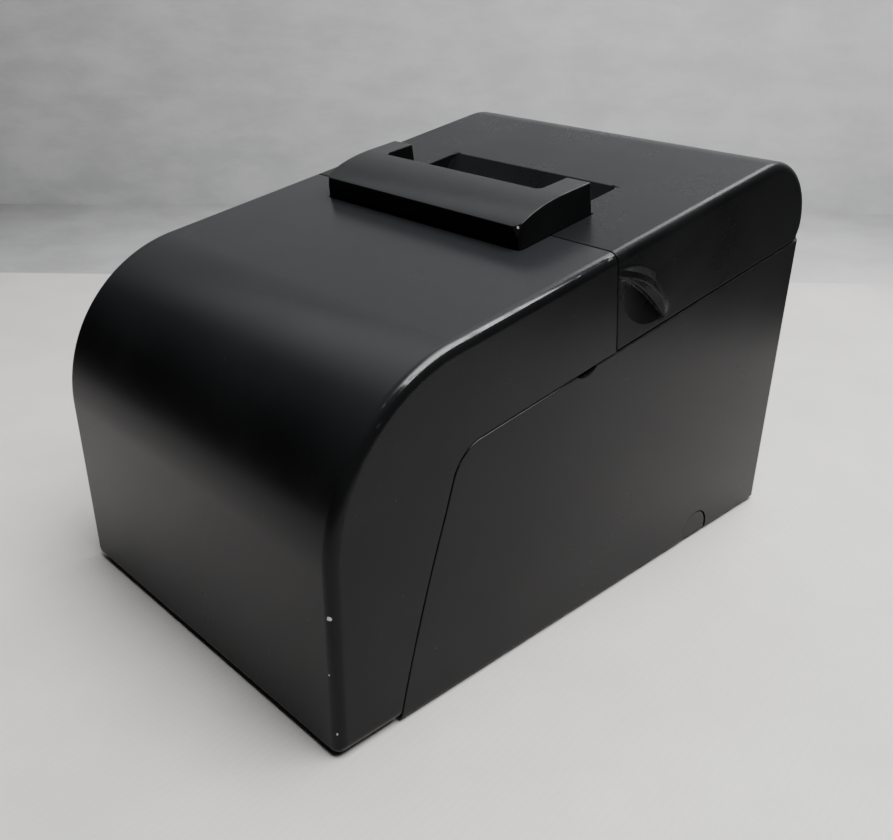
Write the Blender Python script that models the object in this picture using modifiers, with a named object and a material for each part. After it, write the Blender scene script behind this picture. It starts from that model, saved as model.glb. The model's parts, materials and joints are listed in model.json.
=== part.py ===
"""Desktop impact receipt printer with an auto-cutter hood, modelled as separate parts.

Metres, +Z up. The front faces -Y and the right side faces +X. The origin is on the table
under the middle of the printer.
"""

import math

import bmesh
import bpy
from mathutils import Matrix, Vector

MM = 0.001

# ---------------------------------------------------------------- driving dimensions
WIDTH = 160 * MM
DEPTH = 241.1 * MM
FOOT_HEIGHT = 1.5 * MM
WALL = 2.4 * MM
EDGE_RADIUS = 3.8 * MM
TOE_RADIUS = 2.2 * MM
TOP_SLOPE = 0.1675
FRONT_ARC_RADIUS = 58.2 * MM
FRONT_ARC_HEIGHT = 68.4 * MM
REAR_ARC_RADIUS = 26 * MM
REAR_LIP_RADIUS = 11 * MM
REAR_LIP_ANGLE = math.radians(30)
BASE_REAR_Y = 119.9 * MM

# The seam that divides the covers from the base
SEAM_HEIGHT = 102.04 * MM
SEAM_SLOPE = 0.155
SEAM_CORNER_RADIUS = 14 * MM
SEAM_TOE_Y = -94.9 * MM
SEAM_KNEE_Y = -70.1 * MM
SEAM_BOW = 1.1 * MM
FRONT_COVER_GAP = 0.45 * MM
REAR_COVER_GAP = 0.9 * MM
COVER_SPLIT_Y = 3.15 * MM
COVER_SPLIT_LEAN = 0.12
COVER_SPLIT_GAP = 0.4 * MM

# Hood over the cutter
HOOD_HALF_WIDTH = 51 * MM
HOOD_FRONT_Y = -15.95 * MM
HOOD_FRONT_LEAN = 0.167
HOOD_FOOT_Z = 135.5 * MM
HOOD_BAR_REAR_Y = 4.3 * MM
HOOD_REAR_Y = 20.75 * MM
HOOD_ARM_INNER = 40.4 * MM
HOOD_CORNER = 2.8 * MM
NOTCH_CORNER = 1.5 * MM
HOOD_BOTTOM = 130 * MM
HOOD_FRONT_TOP = 142.7 * MM
HOOD_REAR_TOP = 152.4 * MM
HOOD_CLEARANCE = 0.4 * MM

# Paper exit pocket in the rear cover
POCKET_HALF_WIDTH = 42.6 * MM
POCKET_CORNER = 3 * MM
POCKET_REAR_Y = 45.85 * MM
POCKET_FALL = 1.128
POCKET_LIP_Y = 18.5 * MM
POCKET_LIP_THICKNESS = 1.6 * MM
POCKET_WALL = 2.2 * MM

# Hinges
REAR_HINGE_Y = 118.4 * MM
REAR_HINGE_Z = 122.2 * MM
REAR_HINGE_X = 52 * MM
KNUCKLE_RADIUS = 2.1 * MM
REAR_PIN_RADIUS = 0.9 * MM
REAR_PIN_HOLE = 1.2 * MM
FRONT_HINGE_Y = -114.55 * MM
FRONT_HINGE_Z = 8.5 * MM
FRONT_PIN_RADIUS = 1.5 * MM
FRONT_PIN_HOLE = 1.85 * MM

# Finger grips on the rear cover: arcs in the side view, and how the lip swells along them
GRIP_OUTER = (Vector((4.1, 102.3)) * MM, 29.8 * MM, math.radians(97.5), math.radians(16.1))
GRIP_RIM = (Vector((-5.8, 90.2)) * MM, 39.9 * MM, math.radians(82), math.radians(29))
GRIP_BAND = (2.2, 2.1, 2.0, 1.8, 1.0, 0.4, 0.2)
GRIP_UNDERCUT = (0.2, 0.8, 1.4, 1.7, 1.6, 1.2, 0.5)
GRIP_SWELL = (0.12, 0.75, 1.0, 1.0, 0.95, 0.7, 0.12)
GRIP_REACH = 2.6 * MM
GRIP_ROOT = 1 * MM
GRIP_STEPS = 18
SCOOP_CENTRE = Vector((21.4, 128.7)) * MM
SCOOP_RADIUS = 19.8 * MM
SCOOP_DEPTH = 2.6 * MM
SCOOP_RINGS = (0.06, 0.3, 0.5, 0.7, 0.85, 0.98, 1.15)
SCOOP_BACK = 2 * MM
SCOOP_FRONT_Y = 5.5 * MM
SCOOP_REAR_Y = 34 * MM
SCOOP_TOP = 135 * MM
SCOOP_OVER_SEAM = 1.6 * MM

# Cable knock-outs low on both sides
ARCH_Y = 70.9 * MM
ARCH_HALF_WIDTH = 8.2 * MM
ARCH_TOP = 12.4 * MM
ARCH_GAP = 0.35 * MM

# Mechanism
PLATE_X = 58 * MM
PLATE_THICKNESS = 2 * MM
SHAFT_Y = -34 * MM
SHAFT_Z = 66 * MM
SHAFT_RADIUS = 3 * MM
FEED_Y = -5 * MM
FEED_Z = 92 * MM
FEED_RADIUS = 5 * MM
PINCH_RADIUS = 6 * MM
GEAR_MODULE = 1 * MM
GEAR_X = -62.5 * MM
GEAR_WIDTH = 4 * MM
ROLLER_TEETH = 16
IDLER_TEETH = 24
PINION_TEETH = 12
BELT_Y = -66 * MM
BELT_Z = 66 * MM
PULLEY_X = 46 * MM
PULLEY_RADIUS = 5 * MM
BLADE_Z = 128 * MM
GUIDE_THICKNESS = 1 * MM

# Paper roll bin
ROLL_Y = 67.5 * MM
ROLL_Z = 74 * MM
BIN_RADIUS = 44 * MM
BIN_HALF_WIDTH = 41.5 * MM
BIN_WALL = 2 * MM
BIN_DECK_Z = 99 * MM

# Controls on the left side
SWITCH_Y = -40 * MM
SWITCH_Z = 34 * MM
BUTTON_Y = -62 * MM
BUTTON_Z = 30 * MM
BUTTON_RADIUS = 5 * MM
LED_RADIUS = 1.6 * MM
LED_FIRST_Z = 42 * MM
LED_PITCH = 7 * MM

# Connector bay at the back
BAY_HALF_WIDTH = 54 * MM
BAY_LOW = 7 * MM
BAY_HIGH = 37 * MM
BAY_FLOOR_Y = 104 * MM

FRONT_Y = -DEPTH / 2
REAR_Y = DEPTH / 2
HALF_WIDTH = WIDTH / 2
BODY_BOTTOM = FOOT_HEIGHT
SLOPE_ANGLE = math.atan(TOP_SLOPE)
FRONT_ARC = Vector((FRONT_Y + FRONT_ARC_RADIUS, FRONT_ARC_HEIGHT))
TOP_AT_ORIGIN = FRONT_ARC.y + FRONT_ARC_RADIUS / math.cos(SLOPE_ANGLE) - TOP_SLOPE * FRONT_ARC.x
OUTSIDE = 30 * MM


def top_height(y):
    """Height of the flat sloping top at depth y."""
    return TOP_AT_ORIGIN + TOP_SLOPE * y


REAR_ARC = Vector((
    REAR_Y - REAR_ARC_RADIUS,
    top_height(REAR_Y - REAR_ARC_RADIUS) - REAR_ARC_RADIUS / math.cos(SLOPE_ANGLE),
))


def seam_height(y):
    """Height of the base's top edge at depth y."""
    return SEAM_HEIGHT + SEAM_SLOPE * y


# ---------------------------------------------------------------- scene and materials
for old in list(bpy.data.objects):
    bpy.data.objects.remove(old)

PARTS = bpy.data.collections.new("receipt_printer")
CUTTERS = bpy.data.collections.new("cutters")
bpy.context.scene.collection.children.link(PARTS)
bpy.context.scene.collection.children.link(CUTTERS)


def material(name, colour, roughness, metallic=0.0):
    made = bpy.data.materials.new(name)
    made.use_nodes = True
    shader = made.node_tree.nodes["Principled BSDF"]
    shader.inputs["Base Color"].default_value = (*colour, 1.0)
    shader.inputs["Roughness"].default_value = roughness
    shader.inputs["Metallic"].default_value = metallic
    return made


CASE_BLACK = material("case_black", (0.016, 0.017, 0.018), 0.34)
INNER_BLACK = material("inner_black", (0.02, 0.02, 0.021), 0.55)
CONTROL_GREY = material("control_grey", (0.09, 0.09, 0.095), 0.45)
RUBBER = material("rubber_black", (0.015, 0.015, 0.015), 0.85)
LABEL = material("label_grey", (0.42, 0.42, 0.4), 0.5)
STEEL = material("zinc_steel", (0.55, 0.56, 0.57), 0.38, 0.9)
POLISHED = material("polished_steel", (0.7, 0.7, 0.72), 0.16, 1.0)
GEAR_WHITE = material("gear_nylon", (0.62, 0.6, 0.54), 0.5)
MOTOR = material("motor_can", (0.3, 0.3, 0.31), 0.42, 0.8)
BOARD = material("board_green", (0.02, 0.12, 0.06), 0.4)
BELT = material("belt_rubber", (0.03, 0.03, 0.03), 0.8)
RIBBON = material("ribbon_case", (0.05, 0.05, 0.055), 0.4)
JACK = material("jack_plastic", (0.05, 0.05, 0.05), 0.5)
GREEN_LENS = material("green_lens", (0.04, 0.35, 0.08), 0.15)
AMBER_LENS = material("amber_lens", (0.6, 0.22, 0.02), 0.15)


# ---------------------------------------------------------------- modelling helpers
def add_object(name, mesh, paint=None):
    made = bpy.data.objects.new(name, mesh)
    if paint is None:
        CUTTERS.objects.link(made)
        made.hide_render = True
        made.display_type = "WIRE"
    else:
        PARTS.objects.link(made)
        mesh.materials.clear()
        mesh.materials.append(paint)
    return made


def finish_mesh(name, shape):
    bmesh.ops.recalc_face_normals(shape, faces=shape.faces)
    mesh = bpy.data.meshes.new(name)
    shape.to_mesh(mesh)
    shape.free()
    mesh.shade_smooth()
    mesh.set_sharp_from_angle(angle=math.radians(32))
    return mesh


def box(name, low, high, paint=None):
    """A box between two corners."""
    low = Vector(low)
    high = Vector(high)
    shape = bmesh.new()
    bmesh.ops.create_cube(shape, size=1.0)
    bmesh.ops.scale(shape, vec=high - low, verts=shape.verts)
    bmesh.ops.translate(shape, vec=(low + high) / 2, verts=shape.verts)
    return add_object(name, finish_mesh(name, shape), paint)


AXIS_TURNS = {
    "X": Matrix.Rotation(math.pi / 2, 4, "Y"),
    "Y": Matrix.Rotation(-math.pi / 2, 4, "X"),
    "Z": Matrix.Identity(4),
}


def cylinder(name, start, axis, radius, length, paint=None, far_radius=None, sides=24):
    """A cylinder or cone that runs from start along +X, +Y or +Z."""
    shape = bmesh.new()
    far = radius if far_radius is None else far_radius
    bmesh.ops.create_cone(
        shape, cap_ends=True, segments=sides, radius1=radius, radius2=far, depth=length
    )
    bmesh.ops.translate(shape, vec=(0, 0, length / 2), verts=shape.verts)
    place = Matrix.Translation(start) @ AXIS_TURNS[axis]
    bmesh.ops.transform(shape, matrix=place, verts=shape.verts)
    return add_object(name, finish_mesh(name, shape), paint)


def loft(name, rings):
    """A closed body through rings that have the same number of points."""
    shape = bmesh.new()
    rows = [[shape.verts.new(point) for point in ring] for ring in rings]
    for here, there in zip(rows, rows[1:]):
        for i in range(len(here)):
            shape.faces.new((here[i - 1], here[i], there[i], there[i - 1]))
    shape.faces.new(rows[0])
    shape.faces.new(rows[-1])
    return add_object(name, finish_mesh(name, shape))


OUTLINE_PLANES = {
    "X": Matrix(((0, 0, 1, 0), (1, 0, 0, 0), (0, 1, 0, 0), (0, 0, 0, 1))),
    "Y": Matrix(((1, 0, 0, 0), (0, 0, 1, 0), (0, 1, 0, 0), (0, 0, 0, 1))),
    "Z": Matrix.Identity(4),
}


def prism(name, outline, axis, low, high, paint=None):
    """A flat outline, drawn as a filled curve, extruded along an axis from low to high."""
    curve = bpy.data.curves.new(name, "CURVE")
    curve.dimensions = "2D"
    curve.fill_mode = "BOTH"
    curve.extrude = (high - low) / 2
    spline = curve.splines.new("POLY")
    spline.points.add(len(outline) - 1)
    for point, (u, v) in zip(spline.points, outline):
        point.co = (u, v, 0, 1)
    spline.use_cyclic_u = True
    drawn = bpy.data.objects.new(name, curve)
    CUTTERS.objects.link(drawn)
    bpy.context.view_layer.update()
    flat = bpy.data.meshes.new_from_object(drawn.evaluated_get(bpy.context.evaluated_depsgraph_get()))
    shape = bmesh.new()
    shape.from_mesh(flat)
    bpy.data.objects.remove(drawn)
    bmesh.ops.remove_doubles(shape, verts=shape.verts, dist=1e-6)
    bmesh.ops.dissolve_limit(
        shape, angle_limit=math.radians(0.05), verts=shape.verts, edges=shape.edges
    )
    bmesh.ops.translate(shape, vec=(0, 0, (low + high) / 2), verts=shape.verts)
    bmesh.ops.transform(shape, matrix=OUTLINE_PLANES[axis], verts=shape.verts)
    return add_object(name, finish_mesh(name, shape), paint)


def arc(centre, radius, start, end, steps):
    """Points on an arc; angles in radians, both ends included."""
    turn = (end - start) / steps
    return [
        (
            centre[0] + radius * math.cos(start + turn * i),
            centre[1] + radius * math.sin(start + turn * i),
        )
        for i in range(steps + 1)
    ]


def rounded(corners, steps=6):
    """An outline from (u, v, radius) corners, with an arc at each corner that has a radius."""
    points = []
    for index, (u, v, radius) in enumerate(corners):
        here = Vector((u, v))
        if radius == 0:
            points.append((u, v))
            continue
        before = (Vector(corners[index - 1][:2]) - here).normalized()
        after = (Vector(corners[(index + 1) % len(corners)][:2]) - here).normalized()
        half = before.angle(after) / 2
        centre = here + (before + after).normalized() * radius / math.sin(half)
        first = here + before * radius / math.tan(half) - centre
        last = here + after * radius / math.tan(half) - centre
        start = math.atan2(first.y, first.x)
        sweep = (math.atan2(last.y, last.x) - start + math.pi) % (2 * math.pi) - math.pi
        points += arc(centre, radius, start, start + sweep, steps)
    return points


# Thin shells with many openings, where the exact solver leaves open edges
SHELLS = {"base_housing", "front_cover", "rear_cover"}


def boolean(target, tool, operation):
    step = target.modifiers.new(f"{operation.lower()} {tool.name}", "BOOLEAN")
    step.operation = operation
    step.solver = "MANIFOLD" if target.name in SHELLS else "EXACT"
    step.object = tool


def cut(target, tool):
    boolean(target, tool, "DIFFERENCE")


def join(target, tool):
    boolean(target, tool, "UNION")


def keep(target, tool):
    boolean(target, tool, "INTERSECT")


def round_edges(target, width, steps, weight):
    """Bevels the edges for which weight(start, end) is over zero, at that share of width."""
    mesh = target.data
    values = mesh.attributes.new("bevel_weight_edge", "FLOAT", "EDGE").data
    for edge, value in zip(mesh.edges, values):
        start, end = (mesh.vertices[i].co for i in edge.vertices)
        value.value = weight(start, end)
    bevel = target.modifiers.new("rounding", "BEVEL")
    bevel.limit_method = "WEIGHT"
    bevel.width = width
    bevel.segments = steps
    bevel.use_clamp_overlap = False


def hang_on(target, pivot):
    """Moves the object's origin to a point on its joint's axis, leaving its shape in place."""
    target.data.transform(Matrix.Translation(-Vector(pivot)))
    target.location = pivot


def both_sides():
    """The two sides of the printer, as a name and a sign along X."""
    return (("left", -1), ("right", 1))


# ---------------------------------------------------------------- casing outlines
def skin_outline(inset, bottom):
    """Side view of the covers' skin, moved inwards by inset and cut off at the bottom."""
    lip_centre = (REAR_Y - REAR_LIP_RADIUS, REAR_ARC.y)
    slope_normal = math.pi / 2 + SLOPE_ANGLE
    points = [(FRONT_Y + inset, bottom)]
    points += arc(FRONT_ARC, FRONT_ARC_RADIUS - inset, math.pi, slope_normal, 20)
    points += arc(REAR_ARC, REAR_ARC_RADIUS - inset, slope_normal, 0, 12)
    points += arc(lip_centre, REAR_LIP_RADIUS - inset, 0, -REAR_LIP_ANGLE, 3)[1:]
    points.append((points[-1][0], bottom))
    return points


def seam_outline(gap, reach_y, reach_z):
    """The base's front and top edges moved out by gap, then closed around the far corner."""
    toe = Vector((SEAM_TOE_Y, BODY_BOTTOM))
    knee = Vector((SEAM_KNEE_Y, seam_height(SEAM_KNEE_Y)))
    along = (knee - toe).normalized()
    out = Vector((-along.y, along.x))
    lean = math.atan(SEAM_SLOPE)
    rise = gap / math.cos(lean)
    steps = 6
    straight = [
        toe.lerp(knee, 0.85 * i / steps) + out * (SEAM_BOW * 4 * (i / steps) * (1 - i / steps) + gap)
        for i in range(steps)
    ]
    knee_out = knee + out * gap + along * gap
    corner = rounded(
        [
            (straight[-1].x, straight[-1].y, 0),
            (knee_out.x, seam_height(knee_out.x) + rise, SEAM_CORNER_RADIUS + gap),
            (reach_y, seam_height(reach_y) + rise, 0),
        ],
        8,
    )
    return [tuple(point) for point in straight] + corner[1:] + [(reach_y, reach_z)]


def split_y(z, side):
    """Depth of the split between the two covers at height z, half a gap to one side of it."""
    return COVER_SPLIT_Y - COVER_SPLIT_LEAN * (z - seam_height(0)) + side * COVER_SPLIT_GAP / 2


def rim(start, end):
    return abs(abs(start.x) - HALF_WIDTH) < 1e-6 and abs(start.x - end.x) < 1e-6


def skin_weight(start, end):
    """Full rounding around both sides and less along the toe."""
    if rim(start, end):
        return 1.0
    at_toe = all(abs(p.y - FRONT_Y) < 1e-6 and abs(p.z - BODY_BOTTOM) < 1e-6 for p in (start, end))
    return TOE_RADIUS / EDGE_RADIUS if at_toe else 0.0


def skin_solid(name):
    made = prism(name, skin_outline(0, BODY_BOTTOM), "X", -HALF_WIDTH, HALF_WIDTH)
    round_edges(made, EDGE_RADIUS, 3, skin_weight)
    return made


SKIN = skin_solid("skin")
HOLLOW = prism("hollow", skin_outline(WALL, -OUTSIDE), "X", WALL - HALF_WIDTH, HALF_WIDTH - WALL)
FAR = HALF_WIDTH + OUTSIDE


# ---------------------------------------------------------------- hood over the cutter
def hood_front(z):
    """Depth of the hood's front face at height z."""
    return HOOD_FRONT_Y - HOOD_FRONT_LEAN * (z - HOOD_FOOT_Z)


def hood_outline():
    """Side view of the hood: front leaning out, crowned top, arms square to the sloping top."""
    front = Vector((hood_front(HOOD_FRONT_TOP), HOOD_FRONT_TOP))
    crown = Vector((-10 * MM, 148.05 * MM))
    level = Vector((4.35 * MM, 150.4 * MM))
    back = Vector((18.9 * MM, HOOD_REAR_TOP))
    steps = 8
    points = [(hood_front(HOOD_BOTTOM), HOOD_BOTTOM)]
    for i in range(steps + 1):
        t = i / steps
        point = front * (1 - t) ** 2 + crown * 2 * t * (1 - t) + level * t ** 2
        points.append(tuple(point))
    points += [tuple(back), (HOOD_REAR_Y, top_height(HOOD_REAR_Y)), (HOOD_REAR_Y, HOOD_BOTTOM)]
    return points


def hood_plan():
    """Plan of the hood, a bar with two arms."""
    outer = HOOD_HALF_WIDTH
    inner = HOOD_ARM_INNER
    front = hood_front(HOOD_FRONT_TOP)
    bar = HOOD_BAR_REAR_Y
    rear = HOOD_REAR_Y
    return rounded([
        (-outer, front, HOOD_CORNER),
        (outer, front, HOOD_CORNER),
        (outer, rear, 0),
        (inner, rear, 0),
        (inner, bar, HOOD_CORNER),
        (-inner, bar, HOOD_CORNER),
        (-inner, rear, 0),
        (-outer, rear, 0),
    ], 4)


def make_hood():
    hood = prism("cutter_hood", hood_plan(), "Z", HOOD_BOTTOM, 160 * MM, CASE_BLACK)
    keep(hood, prism("hood_side", hood_outline(), "X", -FAR, FAR))
    inside = box("hood_inside", (-46 * MM, -13.5 * MM, 120 * MM), (46 * MM, 2 * MM, 139.5 * MM))
    cut(hood, inside)
    return hood


make_hood()


# ---------------------------------------------------------------- front cover
def make_front_cover():
    region = seam_outline(FRONT_COVER_GAP, split_y(seam_height(0), -1), 0)[:-1]
    region.append((split_y(FAR * 2, -1), FAR * 2))
    region += [(FRONT_Y - OUTSIDE, FAR * 2), (FRONT_Y - OUTSIDE, -OUTSIDE), (region[0][0], -OUTSIDE)]
    cover = prism("front_cover", region, "X", -FAR, FAR, CASE_BLACK)
    keep(cover, SKIN)
    cut(cover, HOLLOW)
    for side, sign in both_sides():
        low = min(sign * 75 * MM, sign * (HALF_WIDTH - 1 * MM))
        length = HALF_WIDTH - 1 * MM - 75 * MM
        hole_end = min(sign * 70 * MM, sign * 77.6 * MM)
        join(cover, cylinder(
            f"front_boss_{side}", (low, FRONT_HINGE_Y, FRONT_HINGE_Z), "X", 3.2 * MM, length, sides=22
        ))
        cut(cover, cylinder(
            f"front_boss_hole_{side}", (hole_end, FRONT_HINGE_Y, FRONT_HINGE_Z), "X",
            FRONT_PIN_HOLE, 7.6 * MM, sides=16
        ))
    notch = prism("front_notch", hood_notch(), "Z", 100 * MM, 170 * MM)
    cut(cover, notch)
    hang_on(cover, (0, FRONT_HINGE_Y, FRONT_HINGE_Z))


def hood_notch():
    """Plan of the opening in both covers that the hood stands in, arms and bar together."""
    outer = HOOD_HALF_WIDTH + HOOD_CLEARANCE
    front = HOOD_FRONT_Y - HOOD_CLEARANCE
    rear = HOOD_REAR_Y + HOOD_CLEARANCE
    return rounded([
        (-outer, front, NOTCH_CORNER), (outer, front, NOTCH_CORNER), (outer, rear, 0), (-outer, rear, 0)
    ], 4)


make_front_cover()


# ---------------------------------------------------------------- rear cover
def hood_arms():
    """Plan of the room the rear cover leaves for the hood's bar and arms."""
    outer = HOOD_HALF_WIDTH + HOOD_CLEARANCE
    inner = HOOD_ARM_INNER - HOOD_CLEARANCE
    bar = HOOD_BAR_REAR_Y + HOOD_CLEARANCE
    rear = HOOD_REAR_Y + HOOD_CLEARANCE
    return [
        (-outer, -OUTSIDE), (outer, -OUTSIDE), (outer, rear), (inner, rear), (inner, bar),
        (-inner, bar), (-inner, rear), (-outer, rear),
    ]


def knuckle_stations():
    return tuple((side, sign * REAR_HINGE_X) for side, sign in both_sides())


def make_rear_cover():
    start = seam_height(0) + REAR_COVER_GAP
    far_y = REAR_Y + OUTSIDE
    region = [
        (split_y(start, 1), seam_height(split_y(start, 1)) + REAR_COVER_GAP),
        (far_y, seam_height(far_y) + REAR_COVER_GAP),
        (far_y, FAR * 2),
        (split_y(FAR * 2, 1), FAR * 2),
    ]
    cover = prism("rear_cover", region, "X", -FAR, FAR, CASE_BLACK)
    keep(cover, SKIN)
    cut(cover, HOLLOW)

    add_pocket(cover)
    for side, sign in both_sides():
        add_grip(cover, side, sign)

    # Hinge knuckles on the lower edge of the rear wall, and room for the base's own
    for side, x in knuckle_stations():
        cut(cover, box(
            f"cover_hinge_room_{side}",
            (x - 4 * MM, 114 * MM, 118 * MM), (x + 4 * MM, 124 * MM, 125 * MM)
        ))
        for index, start_x in enumerate((x - 9 * MM, x + 4 * MM)):
            join(cover, cylinder(
                f"cover_knuckle_{side}_{index}", (start_x, REAR_HINGE_Y, REAR_HINGE_Z), "X",
                KNUCKLE_RADIUS, 5 * MM, sides=20
            ))
        cut(cover, cylinder(
            f"cover_pin_hole_{side}", (x - 12 * MM, REAR_HINGE_Y, REAR_HINGE_Z), "X",
            REAR_PIN_HOLE, 24 * MM, sides=12
        ))
    hang_on(cover, (0, REAR_HINGE_Y, REAR_HINGE_Z))


def pocket_height(y):
    """Height of the pocket's sloping back."""
    return top_height(POCKET_REAR_Y) - POCKET_FALL * (POCKET_REAR_Y - y)


def add_pocket(cover):
    """The paper exit pocket: side walls and a sloping back, open at the front and below."""
    rear = POCKET_REAR_Y
    lip = pocket_height(POCKET_LIP_Y)
    front = HOOD_REAR_Y + 0.9 * MM
    behind = rear + POCKET_WALL * 1.35
    sunk = 1 * MM
    liner = [
        (POCKET_LIP_Y, lip - POCKET_LIP_THICKNESS),
        (behind, top_height(rear) - 1.2 * sunk),
        (behind, top_height(behind) - sunk),
        (front, top_height(front) - sunk),
        (front, pocket_height(front) + sunk),
        (POCKET_LIP_Y, lip + sunk),
    ]
    wide = POCKET_HALF_WIDTH + POCKET_WALL
    join(cover, prism("pocket_liner", liner, "X", -wide, wide))
    low = lip - OUTSIDE
    ahead = POCKET_LIP_Y - 1 * MM
    side_view = [
        (-OUTSIDE, low), (ahead, low), (ahead, pocket_height(ahead)), (rear, top_height(rear)),
        (rear + sunk, FAR * 2), (-OUTSIDE, FAR * 2),
    ]
    space = prism("pocket_space", side_view, "X", -FAR, FAR)
    plan = rounded([
        (-POCKET_HALF_WIDTH, -OUTSIDE, 0), (POCKET_HALF_WIDTH, -OUTSIDE, 0),
        (POCKET_HALF_WIDTH, rear, POCKET_CORNER), (-POCKET_HALF_WIDTH, rear, POCKET_CORNER),
    ], 4)
    keep(space, prism("pocket_plan", plan, "Z", -OUTSIDE, FAR * 3))
    cut(cover, space)
    cut(cover, prism("rear_notch", hood_arms(), "Z", 100 * MM, 170 * MM))


def swell(values, t):
    """A smooth curve through evenly spaced values, read at t from 0 to 1."""
    place = t * (len(values) - 1)
    index = min(int(place), len(values) - 2)
    u = place - index
    last = len(values) - 1
    a, b, c, d = (values[min(max(index + step, 0), last)] for step in (-1, 0, 1, 2))
    return b + u / 2 * (c - a + u * (2 * a - 5 * b + 4 * c - d + u * (3 * (b - c) + d - a)))


def grip_arc(line, t, growth=0.0):
    """A point at t from 0 to 1 along one of the grip's arcs, moved out by growth."""
    centre, radius, start, end = line
    angle = start + (end - start) * t
    return centre + Vector((math.cos(angle), math.sin(angle))) * (radius + growth)


def add_grip(cover, side, sign):
    """A shallow scoop for a fingertip under a raised crescent lip."""
    far = (SCOOP_REAR_Y, seam_height(SCOOP_REAR_Y) + REAR_COVER_GAP + SCOOP_OVER_SEAM)
    near = (SCOOP_FRONT_Y, seam_height(SCOOP_FRONT_Y) + REAR_COVER_GAP + SCOOP_OVER_SEAM)
    reach = [near, far, (far[0], SCOOP_TOP), (near[0], SCOOP_TOP)]
    back = scoop(f"scoop_back_{side}", sign, SCOOP_BACK)
    keep(back, prism(f"scoop_reach_{side}", reach, "X", -FAR, FAR))
    join(cover, back)

    under = [
        grip_arc(GRIP_RIM, i / 12, -(swell(GRIP_UNDERCUT, i / 12) + 0.4) * MM) for i in range(13)
    ]
    below = [tuple(point) for point in under]
    below += [(SCOOP_REAR_Y, below[-1][1]), (SCOOP_REAR_Y, 100 * MM), (-5 * MM, 100 * MM)]
    below.append((-5 * MM, below[0][1]))
    hole = scoop(f"scoop_{side}", sign, 0.0)
    keep(hole, prism(f"scoop_under_{side}", below, "X", -FAR, FAR))
    cut(cover, hole)
    join(cover, grip_lip(f"grip_lip_{side}", sign))


def scoop(name, sign, sunk):
    """The round body that fills a scoop and stands proud of the wall, sunk into it."""
    rings = []
    for share in SCOOP_RINGS:
        x = sign * (HALF_WIDTH - sunk - SCOOP_DEPTH * (1 - share ** 2))
        circle = arc(SCOOP_CENTRE, SCOOP_RADIUS * share, 0, math.tau, 40)[:-1]
        rings.append([(x, y, z) for y, z in circle])
    return loft(name, rings)


def grip_lip(name, sign):
    """The crescent lip, from its tip near the split to its tip above the seam."""
    rings = []
    for i in range(GRIP_STEPS + 1):
        t = i / GRIP_STEPS
        proud = sign * (HALF_WIDTH + GRIP_REACH * swell(GRIP_SWELL, t))
        root = sign * (HALF_WIDTH - GRIP_ROOT)
        wall = sign * HALF_WIDTH
        outer = grip_arc(GRIP_OUTER, t)
        upper = grip_arc(GRIP_RIM, t, swell(GRIP_BAND, t) * MM)
        lower = grip_arc(GRIP_RIM, t)
        under = grip_arc(GRIP_RIM, t, -swell(GRIP_UNDERCUT, t) * MM)
        rings.append([
            (root, *outer), (wall, *outer), (proud, *upper), (proud, *lower), (wall, *under),
            (root, *under),
        ])
    return loft(name, rings)


make_rear_cover()


# ---------------------------------------------------------------- base housing
def base_weight(start, end):
    """Rounds the upright rear corners and the long lower edges."""
    rear = all(abs(p.y - BASE_REAR_Y) < 1e-6 for p in (start, end))
    low = all(abs(p.z - BODY_BOTTOM) < 1e-6 for p in (start, end))
    if rim(start, end) and rear:
        return 1.0
    if low and (rim(start, end) or rear):
        return 0.3
    return 0.0


def arch_outline(inset):
    """Outline of a cable knock-out, from below the base up to its round top."""
    half = ARCH_HALF_WIDTH - inset
    centre = (ARCH_Y, ARCH_TOP - ARCH_HALF_WIDTH)
    low = -OUTSIDE if inset == 0 else BODY_BOTTOM + 0.2 * MM
    return [(ARCH_Y + half, low)] + arc(centre, half, 0, math.pi, 12) + [(ARCH_Y - half, low)]


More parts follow.
